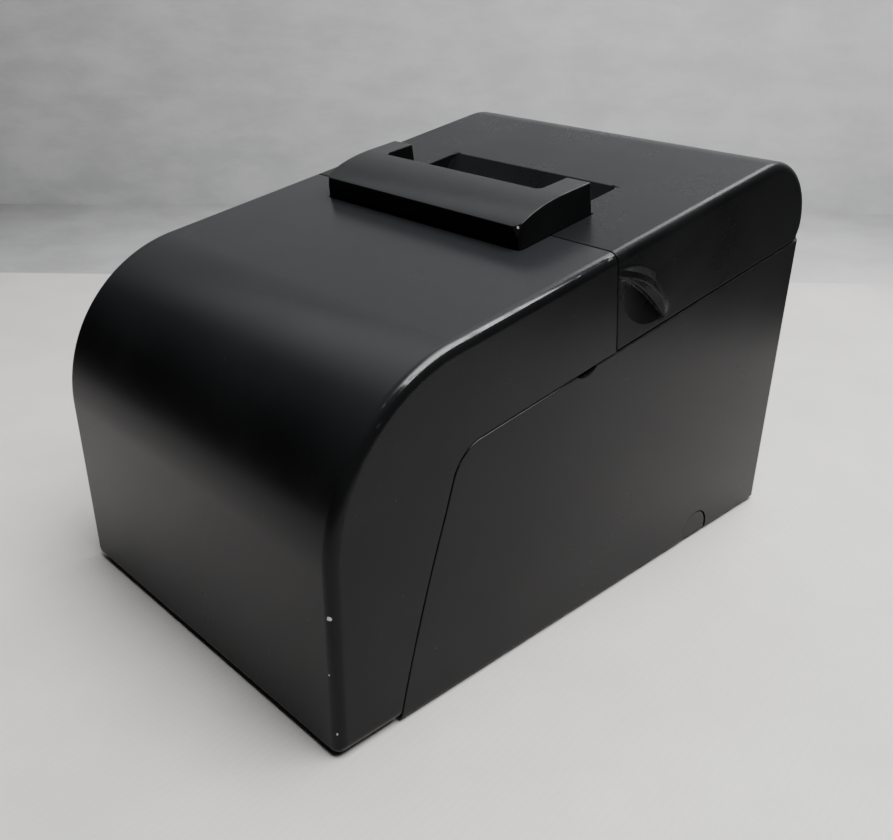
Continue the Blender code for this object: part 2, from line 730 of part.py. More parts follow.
def make_base():
    outline = seam_outline(0, BASE_REAR_Y, BODY_BOTTOM)
    base = prism("base_housing", outline, "X", -HALF_WIDTH, HALF_WIDTH, CASE_BLACK)
    round_edges(base, EDGE_RADIUS, 3, base_weight)
    inner = HALF_WIDTH - WALL
    floor = BODY_BOTTOM + WALL
    cut(base, box("base_room", (-inner, -150 * MM, floor), (inner, BASE_REAR_Y - WALL, 200 * MM)))
    join(base, box(
        "floor_tongue", (-76.8 * MM, -104.8 * MM, BODY_BOTTOM), (76.8 * MM, -60 * MM, floor + 0.4 * MM)
    ))

    for side, sign in both_sides():
        # Arm that carries the front cover's hinge pin
        low = min(sign * 69.5 * MM, sign * 74.5 * MM)
        arm = rounded([
            (FRONT_HINGE_Y - 2.8 * MM, FRONT_HINGE_Z - 2.8 * MM, 2.7 * MM),
            (-103.3 * MM, FRONT_HINGE_Z - 2.8 * MM, 0),
            (-103.3 * MM, BODY_BOTTOM + 1 * MM, 0),
            (-89 * MM, BODY_BOTTOM + 1 * MM, 0),
            (-91 * MM, FRONT_HINGE_Z + 2.8 * MM, 0),
            (FRONT_HINGE_Y - 2.8 * MM, FRONT_HINGE_Z + 2.8 * MM, 2.7 * MM),
        ])
        join(base, prism(f"hinge_arm_{side}", arm, "X", low, low + 5 * MM))
        cut(base, cylinder(
            f"arm_hole_{side}", (low - 2 * MM, FRONT_HINGE_Y, FRONT_HINGE_Z), "X",
            FRONT_PIN_HOLE, 9 * MM, sides=16
        ))
        # Cable knock-out and the fingertip notch under the front cover's edge
        wall = min(sign * 75 * MM, sign * 85 * MM)
        cut(base, prism(f"arch_hole_{side}", arch_outline(0), "X", wall, wall + 10 * MM))
        notch_y = -13 * MM
        cut(base, cylinder(
            f"pry_notch_{side}", (wall, notch_y, seam_height(notch_y) + 5.3 * MM), "X",
            7.3 * MM, 10 * MM, sides=30
        ))

    # Connector bay opening, and a shallow panel for the label above it
    cut(base, box(
        "bay_opening", (-BAY_HALF_WIDTH, 100 * MM, BAY_LOW), (BAY_HALF_WIDTH, 130 * MM, BAY_HIGH)
    ))
    cut(base, box("label_panel", (-32 * MM, 119.3 * MM, 58 * MM), (32 * MM, 130 * MM, 84 * MM)))

    # Openings for the controls on the left side
    left = -85 * MM
    cut(base, box(
        "switch_opening", (left, SWITCH_Y - 8.4 * MM, SWITCH_Z - 11.9 * MM),
        (-70 * MM, SWITCH_Y + 8.4 * MM, SWITCH_Z + 11.9 * MM)
    ))
    cut(base, cylinder(
        "button_opening", (left, BUTTON_Y, BUTTON_Z), "X", BUTTON_RADIUS + 0.5 * MM, 15 * MM
    ))
    for index in range(3):
        cut(base, cylinder(
            f"led_opening_{index}", (left, BUTTON_Y, LED_FIRST_Z + index * LED_PITCH), "X",
            LED_RADIUS + 0.3 * MM, 15 * MM, sides=16
        ))

    # Hinge knuckles along the top of the rear wall
    for side, x in knuckle_stations():
        for index, start_x in enumerate((x - 9.4 * MM, x + 3.6 * MM)):
            cut(base, box(
                f"base_hinge_room_{side}_{index}",
                (start_x, 114 * MM, 119.4 * MM), (start_x + 5.8 * MM, 126 * MM, 126 * MM)
            ))
        join(base, box(
            f"knuckle_web_{side}", (x - 3.3 * MM, 117.8 * MM, 112 * MM),
            (x + 3.3 * MM, 119.3 * MM, REAR_HINGE_Z)
        ))
        join(base, cylinder(
            f"base_knuckle_{side}", (x - 3.6 * MM, REAR_HINGE_Y, REAR_HINGE_Z), "X",
            KNUCKLE_RADIUS, 7.2 * MM, sides=20
        ))
        cut(base, cylinder(
            f"base_pin_hole_{side}", (x - 8 * MM, REAR_HINGE_Y, REAR_HINGE_Z), "X",
            REAR_PIN_HOLE, 16 * MM, sides=12
        ))


make_base()


def make_base_trim():
    for side, sign in both_sides():
        inner = sign * (HALF_WIDTH - 2 * MM)
        outer = sign * (HALF_WIDTH - 0.3 * MM)
        prism(
            f"cable_knockout_{side}", arch_outline(ARCH_GAP), "X",
            min(inner, outer), max(inner, outer), CASE_BLACK
        )
        for end, y in (("front", -82 * MM), ("rear", 100 * MM)):
            cylinder(
                f"rubber_foot_{end}_{side}", (sign * 62 * MM, y, 0), "Z",
                6.5 * MM, FOOT_HEIGHT - 0.3 * MM, RUBBER
            )
        cylinder(
            f"front_hinge_pin_{side}",
            (min(sign * 69.5 * MM, sign * 77.2 * MM), FRONT_HINGE_Y, FRONT_HINGE_Z), "X",
            FRONT_PIN_RADIUS, 7.7 * MM, POLISHED, sides=16
        )
        cylinder(
            f"rear_hinge_pin_{side}",
            (sign * REAR_HINGE_X - 8.8 * MM, REAR_HINGE_Y, REAR_HINGE_Z), "X",
            REAR_PIN_RADIUS, 17.6 * MM, POLISHED, sides=12
        )
    box("rating_label", (-30 * MM, 119.6 * MM, 60 * MM), (30 * MM, 119.85 * MM, 82 * MM), LABEL)


make_base_trim()


# ---------------------------------------------------------------- connector bay
def make_connectors():
    gap = 0.4 * MM
    tray = box(
        "connector_tray",
        (-BAY_HALF_WIDTH - 2 * MM, BAY_FLOOR_Y - 2 * MM, BAY_LOW - 2 * MM),
        (BAY_HALF_WIDTH + 2 * MM, BASE_REAR_Y - WALL - gap, BAY_HIGH + 2 * MM),
        INNER_BLACK,
    )
    cut(tray, box(
        "tray_room",
        (-BAY_HALF_WIDTH, BAY_FLOOR_Y, BAY_LOW), (BAY_HALF_WIDTH, 130 * MM, BAY_HIGH)
    ))
    back = BAY_FLOOR_Y + 0.3 * MM

    power = cylinder("power_inlet", (-36 * MM, back, 21 * MM), "Y", 7.5 * MM, 10 * MM, JACK)
    cut(power, cylinder("power_bore", (-36 * MM, back + 2 * MM, 21 * MM), "Y", 5.6 * MM, 20 * MM))

    drawer = box(
        "drawer_jack", (2 * MM, back, 13 * MM), (19 * MM, back + 11 * MM, 28 * MM), JACK
    )
    cut(drawer, box(
        "drawer_bore", (4.5 * MM, back + 2 * MM, 15.5 * MM), (16.5 * MM, 130 * MM, 25 * MM)
    ))

    port = box(
        "interface_port", (30 * MM, back, 13.5 * MM), (44 * MM, back + 10 * MM, 27 * MM), STEEL
    )
    cut(port, box(
        "port_bore", (31.5 * MM, back + 2 * MM, 15 * MM), (42.5 * MM, 130 * MM, 25.5 * MM)
    ))


make_connectors()


# ---------------------------------------------------------------- print mechanism
def idler_height():
    return FEED_Z - (ROLLER_TEETH + IDLER_TEETH) * GEAR_MODULE / 2


def pinion_height():
    return idler_height() - (IDLER_TEETH + PINION_TEETH) * GEAR_MODULE / 2


def plate_outline():
    return rounded([
        (-80 * MM, 9.8 * MM, 4 * MM), (14 * MM, 9.8 * MM, 4 * MM), (14 * MM, 127 * MM, 4 * MM),
        (-14 * MM, 127 * MM, 4 * MM), (-14 * MM, 106 * MM, 3 * MM), (-30 * MM, 106 * MM, 6 * MM),
        (-80 * MM, 92 * MM, 12 * MM),
    ])


def make_frame():
    for side, sign in both_sides():
        inner = sign * PLATE_X
        outer = sign * (PLATE_X + PLATE_THICKNESS)
        low = min(inner, outer)
        plate = prism(
            f"chassis_plate_{side}", plate_outline(), "X", low, low + PLATE_THICKNESS, STEEL
        )
        for index, (y, z, radius) in enumerate((
            (-60 * MM, 34 * MM, 12 * MM), (-26 * MM, 32 * MM, 10 * MM), (FEED_Y, FEED_Z, 3 * MM),
            (FEED_Y, pinion_height(), 3 * MM),
        )):
            cut(plate, cylinder(
                f"plate_hole_{side}_{index}", (low - 5 * MM, y, z), "X", radius, 12 * MM
            ))
    bottom = box(
        "chassis_floor", (-57.6 * MM, -78 * MM, 10 * MM), (57.6 * MM, 12 * MM, 11.6 * MM), STEEL
    )
    for index, (x, y) in enumerate(screw_places()):
        cut(bottom, cylinder(
            f"screw_hole_{index}", (x, y, 5 * MM), "Z", 1.9 * MM, 12 * MM, sides=16
        ))
        screw = cylinder(
            f"chassis_screw_{index + 1}", (x, y, 11.9 * MM), "Z", 3 * MM, 1.9 * MM, STEEL, sides=16
        )
        join(screw, cylinder(
            f"screw_shank_{index}", (x, y, 5.2 * MM), "Z", 1.5 * MM, 7.5 * MM, sides=12
        ))
    cylinder(
        "carriage_shaft", (0.4 * MM - PLATE_X, SHAFT_Y, SHAFT_Z), "X", SHAFT_RADIUS,
        2 * (PLATE_X - 0.4 * MM), POLISHED
    )
    box(
        "carriage_rail", (0.4 * MM - PLATE_X, -60 * MM, 84 * MM),
        (PLATE_X - 0.4 * MM, -54 * MM, 86.5 * MM), STEEL
    )
    platen = box("platen", (-42 * MM, -11.5 * MM, 54 * MM), (42 * MM, -7 * MM, 78 * MM), STEEL)
    join(platen, box(
        "platen_ends", (0.4 * MM - PLATE_X, -11.1 * MM, 67 * MM),
        (PLATE_X - 0.4 * MM, -7.4 * MM, 77 * MM)
    ))


def screw_places():
    return [(x * MM, y * MM) for x in (-50, 50) for y in (-50, 4)]


def make_carriage():
    body = rounded([
        (-59.3 * MM, 56 * MM, 2 * MM), (-20 * MM, 56 * MM, 2 * MM), (-20 * MM, 62 * MM, 0),
        (-13.5 * MM, 63 * MM, 0), (-13.5 * MM, 71 * MM, 0), (-20 * MM, 72 * MM, 0),
        (-20 * MM, 80 * MM, 2 * MM), (-59.3 * MM, 80 * MM, 2 * MM),
    ], 3)
    carriage = prism("print_head_carriage", body, "X", -17 * MM, 17 * MM, INNER_BLACK)
    cut(carriage, cylinder(
        "carriage_bore", (-20 * MM, SHAFT_Y, SHAFT_Z), "X", SHAFT_RADIUS + 0.35 * MM, 40 * MM
    ))
    hang_on(carriage, (0, SHAFT_Y, SHAFT_Z))


def make_belt_drive():
    low = BELT_Z - 3 * MM
    outside = PULLEY_RADIUS + 1.2 * MM
    inside = PULLEY_RADIUS + 0.35 * MM

    def track(radius):
        right = arc((PULLEY_X, BELT_Y), radius, -math.pi / 2, math.pi / 2, 8)
        left = arc((-PULLEY_X, BELT_Y), radius, math.pi / 2, 3 * math.pi / 2, 8)
        return right + left

    belt = prism("carriage_belt", track(outside), "Z", low, low + 6 * MM, BELT)
    cut(belt, prism("belt_inside", track(inside), "Z", low - 5 * MM, low + 15 * MM))
    for name, x in (("drive_pulley", PULLEY_X), ("idler_pulley", -PULLEY_X)):
        pulley = cylinder(
            name, (x, BELT_Y, BELT_Z - 3.5 * MM), "Z", PULLEY_RADIUS, 7 * MM, GEAR_WHITE
        )
        cut(pulley, cylinder(
            f"{name}_bore", (x, BELT_Y, BELT_Z - 10 * MM), "Z", 1.8 * MM, 20 * MM, sides=16
        ))
        hang_on(pulley, (x, BELT_Y, BELT_Z))
    motor = cylinder(
        "carriage_motor", (PULLEY_X, BELT_Y, 12 * MM), "Z", 10.5 * MM, 36 * MM, MOTOR, sides=32
    )
    join(motor, cylinder(
        "carriage_motor_shaft", (PULLEY_X, BELT_Y, 40 * MM), "Z", 1.4 * MM, 30 * MM, sides=12
    ))
    cylinder(
        "idler_post", (-PULLEY_X, BELT_Y, 12 * MM), "Z", 1.4 * MM, 58 * MM, POLISHED, sides=12
    )


def gear_outline(teeth, turned):
    """Outline of a spur gear with flat-sided teeth; turned is in tooth pitches."""
    pitch = 2 * math.pi / teeth
    radius = GEAR_MODULE * teeth / 2
    root = radius - 1.15 * GEAR_MODULE
    tip = radius + 0.75 * GEAR_MODULE
    points = []
    for index in range(teeth):
        middle = (index + turned) * pitch
        for share, distance in ((-0.27, root), (-0.1, tip), (0.1, tip), (0.27, root)):
            angle = middle + share * pitch
            points.append((distance * math.cos(angle), distance * math.sin(angle)))
    return points


def make_gear(name, centre, teeth, turned, bore):
    outline = [(centre[0] + u, centre[1] + v) for u, v in gear_outline(teeth, turned)]
    gear = prism(name, outline, "X", GEAR_X - GEAR_WIDTH, GEAR_X, GEAR_WHITE)
    cut(gear, cylinder(
        f"{name}_bore", (GEAR_X - GEAR_WIDTH - 5 * MM, *centre), "X", bore, GEAR_WIDTH + 10 * MM,
        sides=16
    ))
    hang_on(gear, (GEAR_X, *centre))


def make_paper_feed():
    """Feed roller and pinch roller, with a motor pinion, an idler and a roller gear."""
    roller = cylinder(
        "feed_roller", (-40 * MM, FEED_Y, FEED_Z), "X", FEED_RADIUS, 80 * MM, RUBBER
    )
    join(roller, cylinder(
        "feed_roller_shaft", (GEAR_X - GEAR_WIDTH - 1 * MM, FEED_Y, FEED_Z), "X",
        2 * MM, 128 * MM, sides=16
    ))
    hang_on(roller, (0, FEED_Y, FEED_Z))
    pinch_y = FEED_Y - FEED_RADIUS - PINCH_RADIUS - 0.5 * MM
    pinch = cylinder(
        "pinch_roller", (-40 * MM, pinch_y, FEED_Z), "X", PINCH_RADIUS, 80 * MM, RUBBER
    )
    hang_on(pinch, (0, pinch_y, FEED_Z))

    roller_centre = (FEED_Y, FEED_Z)
    idler_centre = (FEED_Y, idler_height())
    pinion_centre = (FEED_Y, pinion_height())
    # The centres stand in a vertical line, so a tooth that points up or down meets a gap
    make_gear("feed_roller_gear", roller_centre, ROLLER_TEETH, 0.0, 2.3 * MM)
    make_gear("feed_idler_gear", idler_centre, IDLER_TEETH, 0.5, 2.3 * MM)
    make_gear("feed_motor_pinion", pinion_centre, PINION_TEETH, 0.0, 1.8 * MM)
    cylinder(
        "feed_idler_stud", (GEAR_X - GEAR_WIDTH - 0.5 * MM, *idler_centre), "X", 2 * MM,
        6.3 * MM, POLISHED, sides=16
    )
    motor = cylinder(
        "feed_motor", (0.4 * MM - PLATE_X, *pinion_centre), "X", 10 * MM, 13 * MM, MOTOR, sides=32
    )
    join(motor, cylinder(
        "feed_motor_shaft", (GEAR_X - GEAR_WIDTH, *pinion_centre), "X", 1.5 * MM, 12 * MM, sides=12
    ))


def make_ribbon():
    outline = rounded([
        (-53 * MM, -84 * MM, 8 * MM), (53 * MM, -84 * MM, 8 * MM), (53 * MM, -44 * MM, 4 * MM),
        (30 * MM, -44 * MM, 0), (26 * MM, -52 * MM, 0), (-26 * MM, -52 * MM, 0),
        (-30 * MM, -44 * MM, 0), (-53 * MM, -44 * MM, 4 * MM),
    ], 5)
    prism("ribbon_cartridge", outline, "Z", 93 * MM, 107 * MM, RIBBON)
    knob = prism(
        "ribbon_knob",
        [
            (36 * MM + r * math.cos(a), -66 * MM + r * math.sin(a))
            for a, r in (
                (2 * math.pi * i / 36, (7.5 if i % 3 else 6.9) * MM) for i in range(36)
            )
        ],
        "Z", 107.5 * MM, 113 * MM, CONTROL_GREY
    )
    hang_on(knob, (36 * MM, -66 * MM, 107.5 * MM))


def make_cutter():
    flange = PLATE_X - 0.4 * MM
    outline = [
        (-flange, -14 * MM), (flange, -14 * MM), (flange, 3.5 * MM), (50 * MM, 3.5 * MM),
        (50 * MM, 18 * MM), (41.5 * MM, 18 * MM), (41.5 * MM, 3.5 * MM), (-41.5 * MM, 3.5 * MM),
        (-41.5 * MM, 18 * MM), (-50 * MM, 18 * MM), (-50 * MM, 3.5 * MM), (-flange, 3.5 * MM),
    ]
    frame = prism("cutter_frame", outline, "Z", 110 * MM, HOOD_BOTTOM - 0.4 * MM, STEEL)
    cut(frame, box(
        "blade_channel", (-38.8 * MM, -13 * MM, BLADE_Z - 0.4 * MM), (38.8 * MM, 10 * MM, 140 * MM)
    ))
    cut(frame, box(
        "cutter_room", (-47 * MM, -11 * MM, 100 * MM), (47 * MM, 1.5 * MM, BLADE_Z - 3 * MM)
    ))
    blade = prism(
        "moving_blade",
        [
            (-38 * MM, -11 * MM), (38 * MM, -11 * MM), (38 * MM, 2 * MM), (0, 3.4 * MM),
            (-38 * MM, 2 * MM),
        ],
        "Z", BLADE_Z, BLADE_Z + 1 * MM, POLISHED
    )
    hang_on(blade, (0, 0, BLADE_Z))
    box(
        "fixed_blade", (-41.1 * MM, 9.8 * MM, BLADE_Z - 2.2 * MM),
        (41.1 * MM, 15 * MM, BLADE_Z - 0.5 * MM), POLISHED
    )
    cylinder("cutter_motor", (8 * MM, -22.4 * MM, 116 * MM), "X", 8 * MM, 30 * MM, MOTOR, sides=32)


def make_paper_guide():
    """A bent sheet that leads the paper from the bin up to the platen."""
    line = [Vector((y, z)) * MM for y, z in ((21.5, 62), (9, 47), (-1, 45), (-6.2, 52))]
    below = []
    for index, point in enumerate(line):
        ahead = line[min(index + 1, len(line) - 1)] - line[max(index - 1, 0)]
        below.append(point + Vector((-ahead.y, ahead.x)).normalized() * GUIDE_THICKNESS)
    outline = [tuple(point) for point in line + below[::-1]]
    prism("paper_guide", outline, "X", -41 * MM, 41 * MM, STEEL)


make_frame()
make_carriage()
make_belt_drive()
make_paper_feed()
make_ribbon()
make_cutter()
make_paper_guide()


# ---------------------------------------------------------------- paper roll bin and board
def make_roll_bin():
    outer = BIN_HALF_WIDTH + BIN_WALL
    front = ROLL_Y - BIN_RADIUS
    rear = ROLL_Y + BIN_RADIUS

    def trough(grow, top):
        points = arc((ROLL_Y, ROLL_Z), BIN_RADIUS + grow, math.pi, 2 * math.pi, 20)
        return points + [(rear + grow, top), (front - grow, top)]

    deck = box(
        "roll_bin", (-76.8 * MM, 17 * MM, BIN_DECK_Z), (76.8 * MM, 116.4 * MM, BIN_DECK_Z + 2 * MM),
        INNER_BLACK
    )
    join(deck, prism("bin_body", trough(BIN_WALL, BIN_DECK_Z + 1 * MM), "X", -outer, outer))
    cut(deck, prism(
        "bin_room", trough(0, BIN_DECK_Z + OUTSIDE), "X", -BIN_HALF_WIDTH, BIN_HALF_WIDTH
    ))


def make_main_board():
    board = box(
        "main_board", (-52 * MM, 18 * MM, 6.4 * MM), (52 * MM, 98 * MM, 8 * MM), BOARD
    )
    parts = (
        ("processor", (-20, 40), (2, 62), 3), ("driver", (20, 44), (34, 54), 4),
        ("memory", (-44, 50), (-32, 58), 2.5), ("regulator", (30, 74), (44, 84), 8),
    )
    for name, low, high, height in parts:
        join(board, box(
            f"board_{name}", (low[0] * MM, low[1] * MM, 7 * MM),
            (high[0] * MM, high[1] * MM, 8 * MM + height * MM)
        ))
    for index, (x, y) in enumerate(((-40, 30), (-28, 30), (42, 62))):
        join(board, cylinder(
            f"capacitor_{index}", (x * MM, y * MM, 7 * MM), "Z", 4 * MM, 12 * MM, sides=16
        ))


make_roll_bin()
make_main_board()


# ---------------------------------------------------------------- controls
def make_controls():
    bezel = box(
        "power_switch_bezel",
        (-80.5 * MM, SWITCH_Y - 8 * MM, SWITCH_Z - 11.5 * MM),
        (-66 * MM, SWITCH_Y + 8 * MM, SWITCH_Z + 11.5 * MM), INNER_BLACK
    )
    cut(bezel, box(
        "bezel_room", (-90 * MM, SWITCH_Y - 6.6 * MM, SWITCH_Z - 9.9 * MM),
        (-69 * MM, SWITCH_Y + 6.6 * MM, SWITCH_Z + 9.9 * MM)
    ))
    face = [
        (-75 * MM, SWITCH_Z - 8.6 * MM), (-79.4 * MM, SWITCH_Z - 8.6 * MM),
        (-78.2 * MM, SWITCH_Z), (-80.9 * MM, SWITCH_Z + 8.4 * MM), (-75 * MM, SWITCH_Z + 8.4 * MM),
    ]
    rocker = prism(
        "power_rocker", face, "Y", SWITCH_Y - 6.1 * MM, SWITCH_Y + 6.1 * MM, CONTROL_GREY
    )
    hang_on(rocker, (-75 * MM, SWITCH_Y, SWITCH_Z))

    button = cylinder(
        "feed_button", (-80.9 * MM, BUTTON_Y, BUTTON_Z), "X", BUTTON_RADIUS, 5 * MM, CONTROL_GREY
    )
    join(button, cylinder(
        "button_flange", (-77.2 * MM, BUTTON_Y, BUTTON_Z), "X", BUTTON_RADIUS + 1.5 * MM, 1.2 * MM
    ))
    hang_on(button, (-80.9 * MM, BUTTON_Y, BUTTON_Z))
    lamps = (("power_lamp", GREEN_LENS), ("error_lamp", AMBER_LENS), ("paper_out_lamp", AMBER_LENS))
    for index, (name, paint) in enumerate(lamps):
        cylinder(
            name, (-80.3 * MM, BUTTON_Y, LED_FIRST_Z + index * LED_PITCH), "X",
            LED_RADIUS, 4 * MM, paint, sides=16
        )


make_controls()
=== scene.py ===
"""Looks of the desktop receipt printer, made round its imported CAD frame.

Metres, +Z up. The front faces -Y, the right side faces +X, and the origin is on the table
under the middle of the printer.
"""

import json
import math

import bmesh
import bpy
from mathutils import Matrix, Vector

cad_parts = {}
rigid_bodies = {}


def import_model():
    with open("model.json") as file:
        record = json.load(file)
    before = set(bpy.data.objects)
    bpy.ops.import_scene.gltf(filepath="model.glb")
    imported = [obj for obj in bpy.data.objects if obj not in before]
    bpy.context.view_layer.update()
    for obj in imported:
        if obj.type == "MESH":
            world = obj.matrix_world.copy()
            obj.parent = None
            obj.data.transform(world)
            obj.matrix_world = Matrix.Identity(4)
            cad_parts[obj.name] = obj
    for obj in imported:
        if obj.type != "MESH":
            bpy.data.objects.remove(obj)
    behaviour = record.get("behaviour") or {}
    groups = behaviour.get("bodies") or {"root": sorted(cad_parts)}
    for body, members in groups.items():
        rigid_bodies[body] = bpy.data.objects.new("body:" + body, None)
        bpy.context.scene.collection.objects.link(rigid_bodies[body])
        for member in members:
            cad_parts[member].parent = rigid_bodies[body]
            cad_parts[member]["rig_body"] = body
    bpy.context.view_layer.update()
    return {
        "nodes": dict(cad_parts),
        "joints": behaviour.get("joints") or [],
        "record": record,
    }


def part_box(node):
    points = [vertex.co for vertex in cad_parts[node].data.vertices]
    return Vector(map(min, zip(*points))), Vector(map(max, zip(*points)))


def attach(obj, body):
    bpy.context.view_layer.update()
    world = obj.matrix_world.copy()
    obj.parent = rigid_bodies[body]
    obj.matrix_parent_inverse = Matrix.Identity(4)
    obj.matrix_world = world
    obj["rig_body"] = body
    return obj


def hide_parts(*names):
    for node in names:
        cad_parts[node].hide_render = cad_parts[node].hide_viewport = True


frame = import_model()

MM = 0.001
NODES = frame["nodes"]
SLOTS = {part["node"]: part["material_slot"] for part in frame["record"]["subparts"]}
PIVOTS = {joint["name"]: Vector(joint["pos_m"]) for joint in frame["joints"] if "pos_m" in joint}

# ---------------------------------------------------------------- sizes read from the frame
COVER_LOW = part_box("front_cover")[0]
LID_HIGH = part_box("rear_cover")[1]
BASE_LOW, BASE_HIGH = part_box("base_housing")
HOOD_LOW, HOOD_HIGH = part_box("cutter_hood")
HALF_WIDTH = BASE_HIGH.x
FRONT_Y = COVER_LOW.y
REAR_Y = LID_HIGH.y
BASE_REAR_Y = BASE_HIGH.y
BODY_BOTTOM = BASE_LOW.z
FRONT_HINGE = PIVOTS["front_cover_hinge"]
REAR_HINGE = PIVOTS["rear_cover_hinge"]

# ---------------------------------------------------------------- shape of the casing
WALL = 2.4 * MM
EDGE_RADIUS = 3.8 * MM
TOE_RADIUS = 2.2 * MM
SMALL_EDGE = 0.32 * MM
TOP_SLOPE = 0.1675
SLOPE_ANGLE = math.atan(TOP_SLOPE)
FRONT_ARC_RADIUS = 58.2 * MM
FRONT_ARC = Vector((FRONT_Y + FRONT_ARC_RADIUS, 68.4 * MM))
TOP_AT_ORIGIN = FRONT_ARC.y + FRONT_ARC_RADIUS / math.cos(SLOPE_ANGLE) - TOP_SLOPE * FRONT_ARC.x
REAR_ARC_RADIUS = 26 * MM
REAR_LIP_RADIUS = 11 * MM
REAR_LIP_ANGLE = math.radians(30)

SEAM_HEIGHT = 102.04 * MM
SEAM_SLOPE = 0.155
SEAM_CORNER_RADIUS = 14 * MM
SEAM_TOE_Y = -94.9 * MM
SEAM_KNEE_Y = -70.1 * MM
SEAM_BOW = 1.1 * MM
FRONT_COVER_GAP = 0.45 * MM
REAR_COVER_GAP = 0.9 * MM
COVER_SPLIT_Y = 3.15 * MM
COVER_SPLIT_LEAN = 0.12
COVER_SPLIT_GAP = 0.4 * MM

HOOD_ARM_INNER = 40.4 * MM
HOOD_BAR_REAR_Y = 4.3 * MM
HOOD_FRONT_TOP = 142.7 * MM
HOOD_FRONT_Y = -15.95 * MM
HOOD_FRONT_LEAN = 0.167
HOOD_FOOT_Z = 135.5 * MM
HOOD_CROWN = Vector((-10, 148.05)) * MM
HOOD_LEVEL = Vector((4.35, 150.4)) * MM
HOOD_BACK_Y = 18.9 * MM
HOOD_ROOM = ((-46 * MM, -13.5 * MM, 120 * MM), (46 * MM, 2 * MM, 139.5 * MM))
HOOD_CORNER = 2.8 * MM
NOTCH_CORNER = 1.5 * MM
HOOD_CLEARANCE = 0.4 * MM
HOOD_FILLET = 0.4 * MM

POCKET_HALF_WIDTH = 42.6 * MM
POCKET_CORNER = 3 * MM
POCKET_REAR_Y = 45.85 * MM
POCKET_FALL = 1.128
POCKET_LIP_Y = 18.5 * MM
POCKET_LIP_THICKNESS = 1.6 * MM
POCKET_WALL = 2.2 * MM

GRIP_OUTER = (Vector((4.1, 102.3)) * MM, 29.8 * MM, math.radians(97.5), math.radians(16.1))
GRIP_RIM = (Vector((-5.8, 90.2)) * MM, 39.9 * MM, math.radians(82), math.radians(29))
GRIP_BAND = (2.2, 2.1, 2.0, 1.8, 1.0, 0.4, 0.2)
GRIP_UNDERCUT = (0.2, 0.8, 1.4, 1.7, 1.6, 1.2, 0.5)
GRIP_SWELL = (0.12, 0.75, 1.0, 1.0, 0.95, 0.7, 0.12)
GRIP_REACH = 2.6 * MM
GRIP_ROOT = 1 * MM
GRIP_STEPS = 54
SCOOP_CENTRE = Vector((21.4, 128.7)) * MM
SCOOP_RADIUS = 19.8 * MM
SCOOP_DEPTH = 2.6 * MM
SCOOP_RINGS = (0.06, 0.2, 0.3, 0.4, 0.5, 0.6, 0.7, 0.78, 0.86, 0.93, 0.99, 1.05, 1.15)
SCOOP_BACK = 2 * MM
SCOOP_FRONT_Y = 5.5 * MM
SCOOP_REAR_Y = 34 * MM
SCOOP_TOP = 135 * MM
SCOOP_OVER_SEAM = 1.6 * MM

ARCH_Y = 70.9 * MM
ARCH_HALF_WIDTH = 8.2 * MM
ARCH_TOP = 12.4 * MM
ARCH_RING = 0.2 * MM
PRY_NOTCH_Y = -13 * MM
PRY_NOTCH_RADIUS = 7.3 * MM
PRY_NOTCH_RISE = 5.3 * MM

FRONT_PIN_HOLE = 1.85 * MM
BOSS_RADIUS = 3.2 * MM
BOSS_END_X = 75 * MM
BOSS_HOLE_X = (70 * MM, 77.6 * MM)
ARM_X = (69.5 * MM, 74.5 * MM)
ARM_REACH = 2.8 * MM
ARM_TIP_RADIUS = 2.7 * MM
ARM_FOOT_FRONT_Y = -103.3 * MM
ARM_FOOT_REAR_Y = -89 * MM
ARM_BACK_Y = -91 * MM
TONGUE_X = 76.8 * MM
TONGUE_Y = (-104.8 * MM, -60 * MM)
KNUCKLE_X = 52 * MM
KNUCKLE_RADIUS = 2.1 * MM
LID_KNUCKLE = 5 * MM
LID_KNUCKLE_GAP = 4 * MM
BASE_KNUCKLE = 7.2 * MM
WEB_HALF_WIDTH = 3.3 * MM
WEB_Y = (117.8 * MM, 119.3 * MM)
WEB_FOOT_Z = 112 * MM
ROOM_FRONT_Y = 114 * MM
REAR_PIN_HOLE = 1.2 * MM
LID_RELIEF_Y = 118.6 * MM
LID_RELIEF_Z = (120.3 * MM, 122 * MM)
BAY_RIM = 2 * MM
LABEL_MARGIN = 2 * MM
LABEL_RECESS = 0.3 * MM
CONTROL_GAP = 0.4 * MM
ABOVE_BASE = (100 * MM, 170 * MM)
THROUGH_WALL = (75 * MM, 85 * MM)
OUTSIDE = 30 * MM
FAR = HALF_WIDTH + OUTSIDE
SIDES = (("left", -1), ("right", 1))


def top_height(y):
    """Height of the flat sloping top at depth y."""
    return TOP_AT_ORIGIN + TOP_SLOPE * y


REAR_ARC = Vector((
    REAR_Y - REAR_ARC_RADIUS,
    top_height(REAR_Y - REAR_ARC_RADIUS) - REAR_ARC_RADIUS / math.cos(SLOPE_ANGLE),
))


def seam_height(y):
    """Height of the base's top edge at depth y."""
    return SEAM_HEIGHT + SEAM_SLOPE * y


# ---------------------------------------------------------------- modelling helpers
def add_object(name, shape):
    """A new object from a bmesh, with its faces pointing out."""
    bmesh.ops.recalc_face_normals(shape, faces=shape.faces)
    mesh = bpy.data.meshes.new(name)
    shape.to_mesh(mesh)
    shape.free()
    made = bpy.data.objects.new(name, mesh)
    bpy.context.scene.collection.objects.link(made)
    return made


def box(name, low, high):
    """A box between two corners."""
    low = Vector(low)
    high = Vector(high)
    shape = bmesh.new()
    bmesh.ops.create_cube(shape, size=1.0)
    bmesh.ops.scale(shape, vec=high - low, verts=shape.verts)
    bmesh.ops.translate(shape, vec=(low + high) / 2, verts=shape.verts)
    return add_object(name, shape)


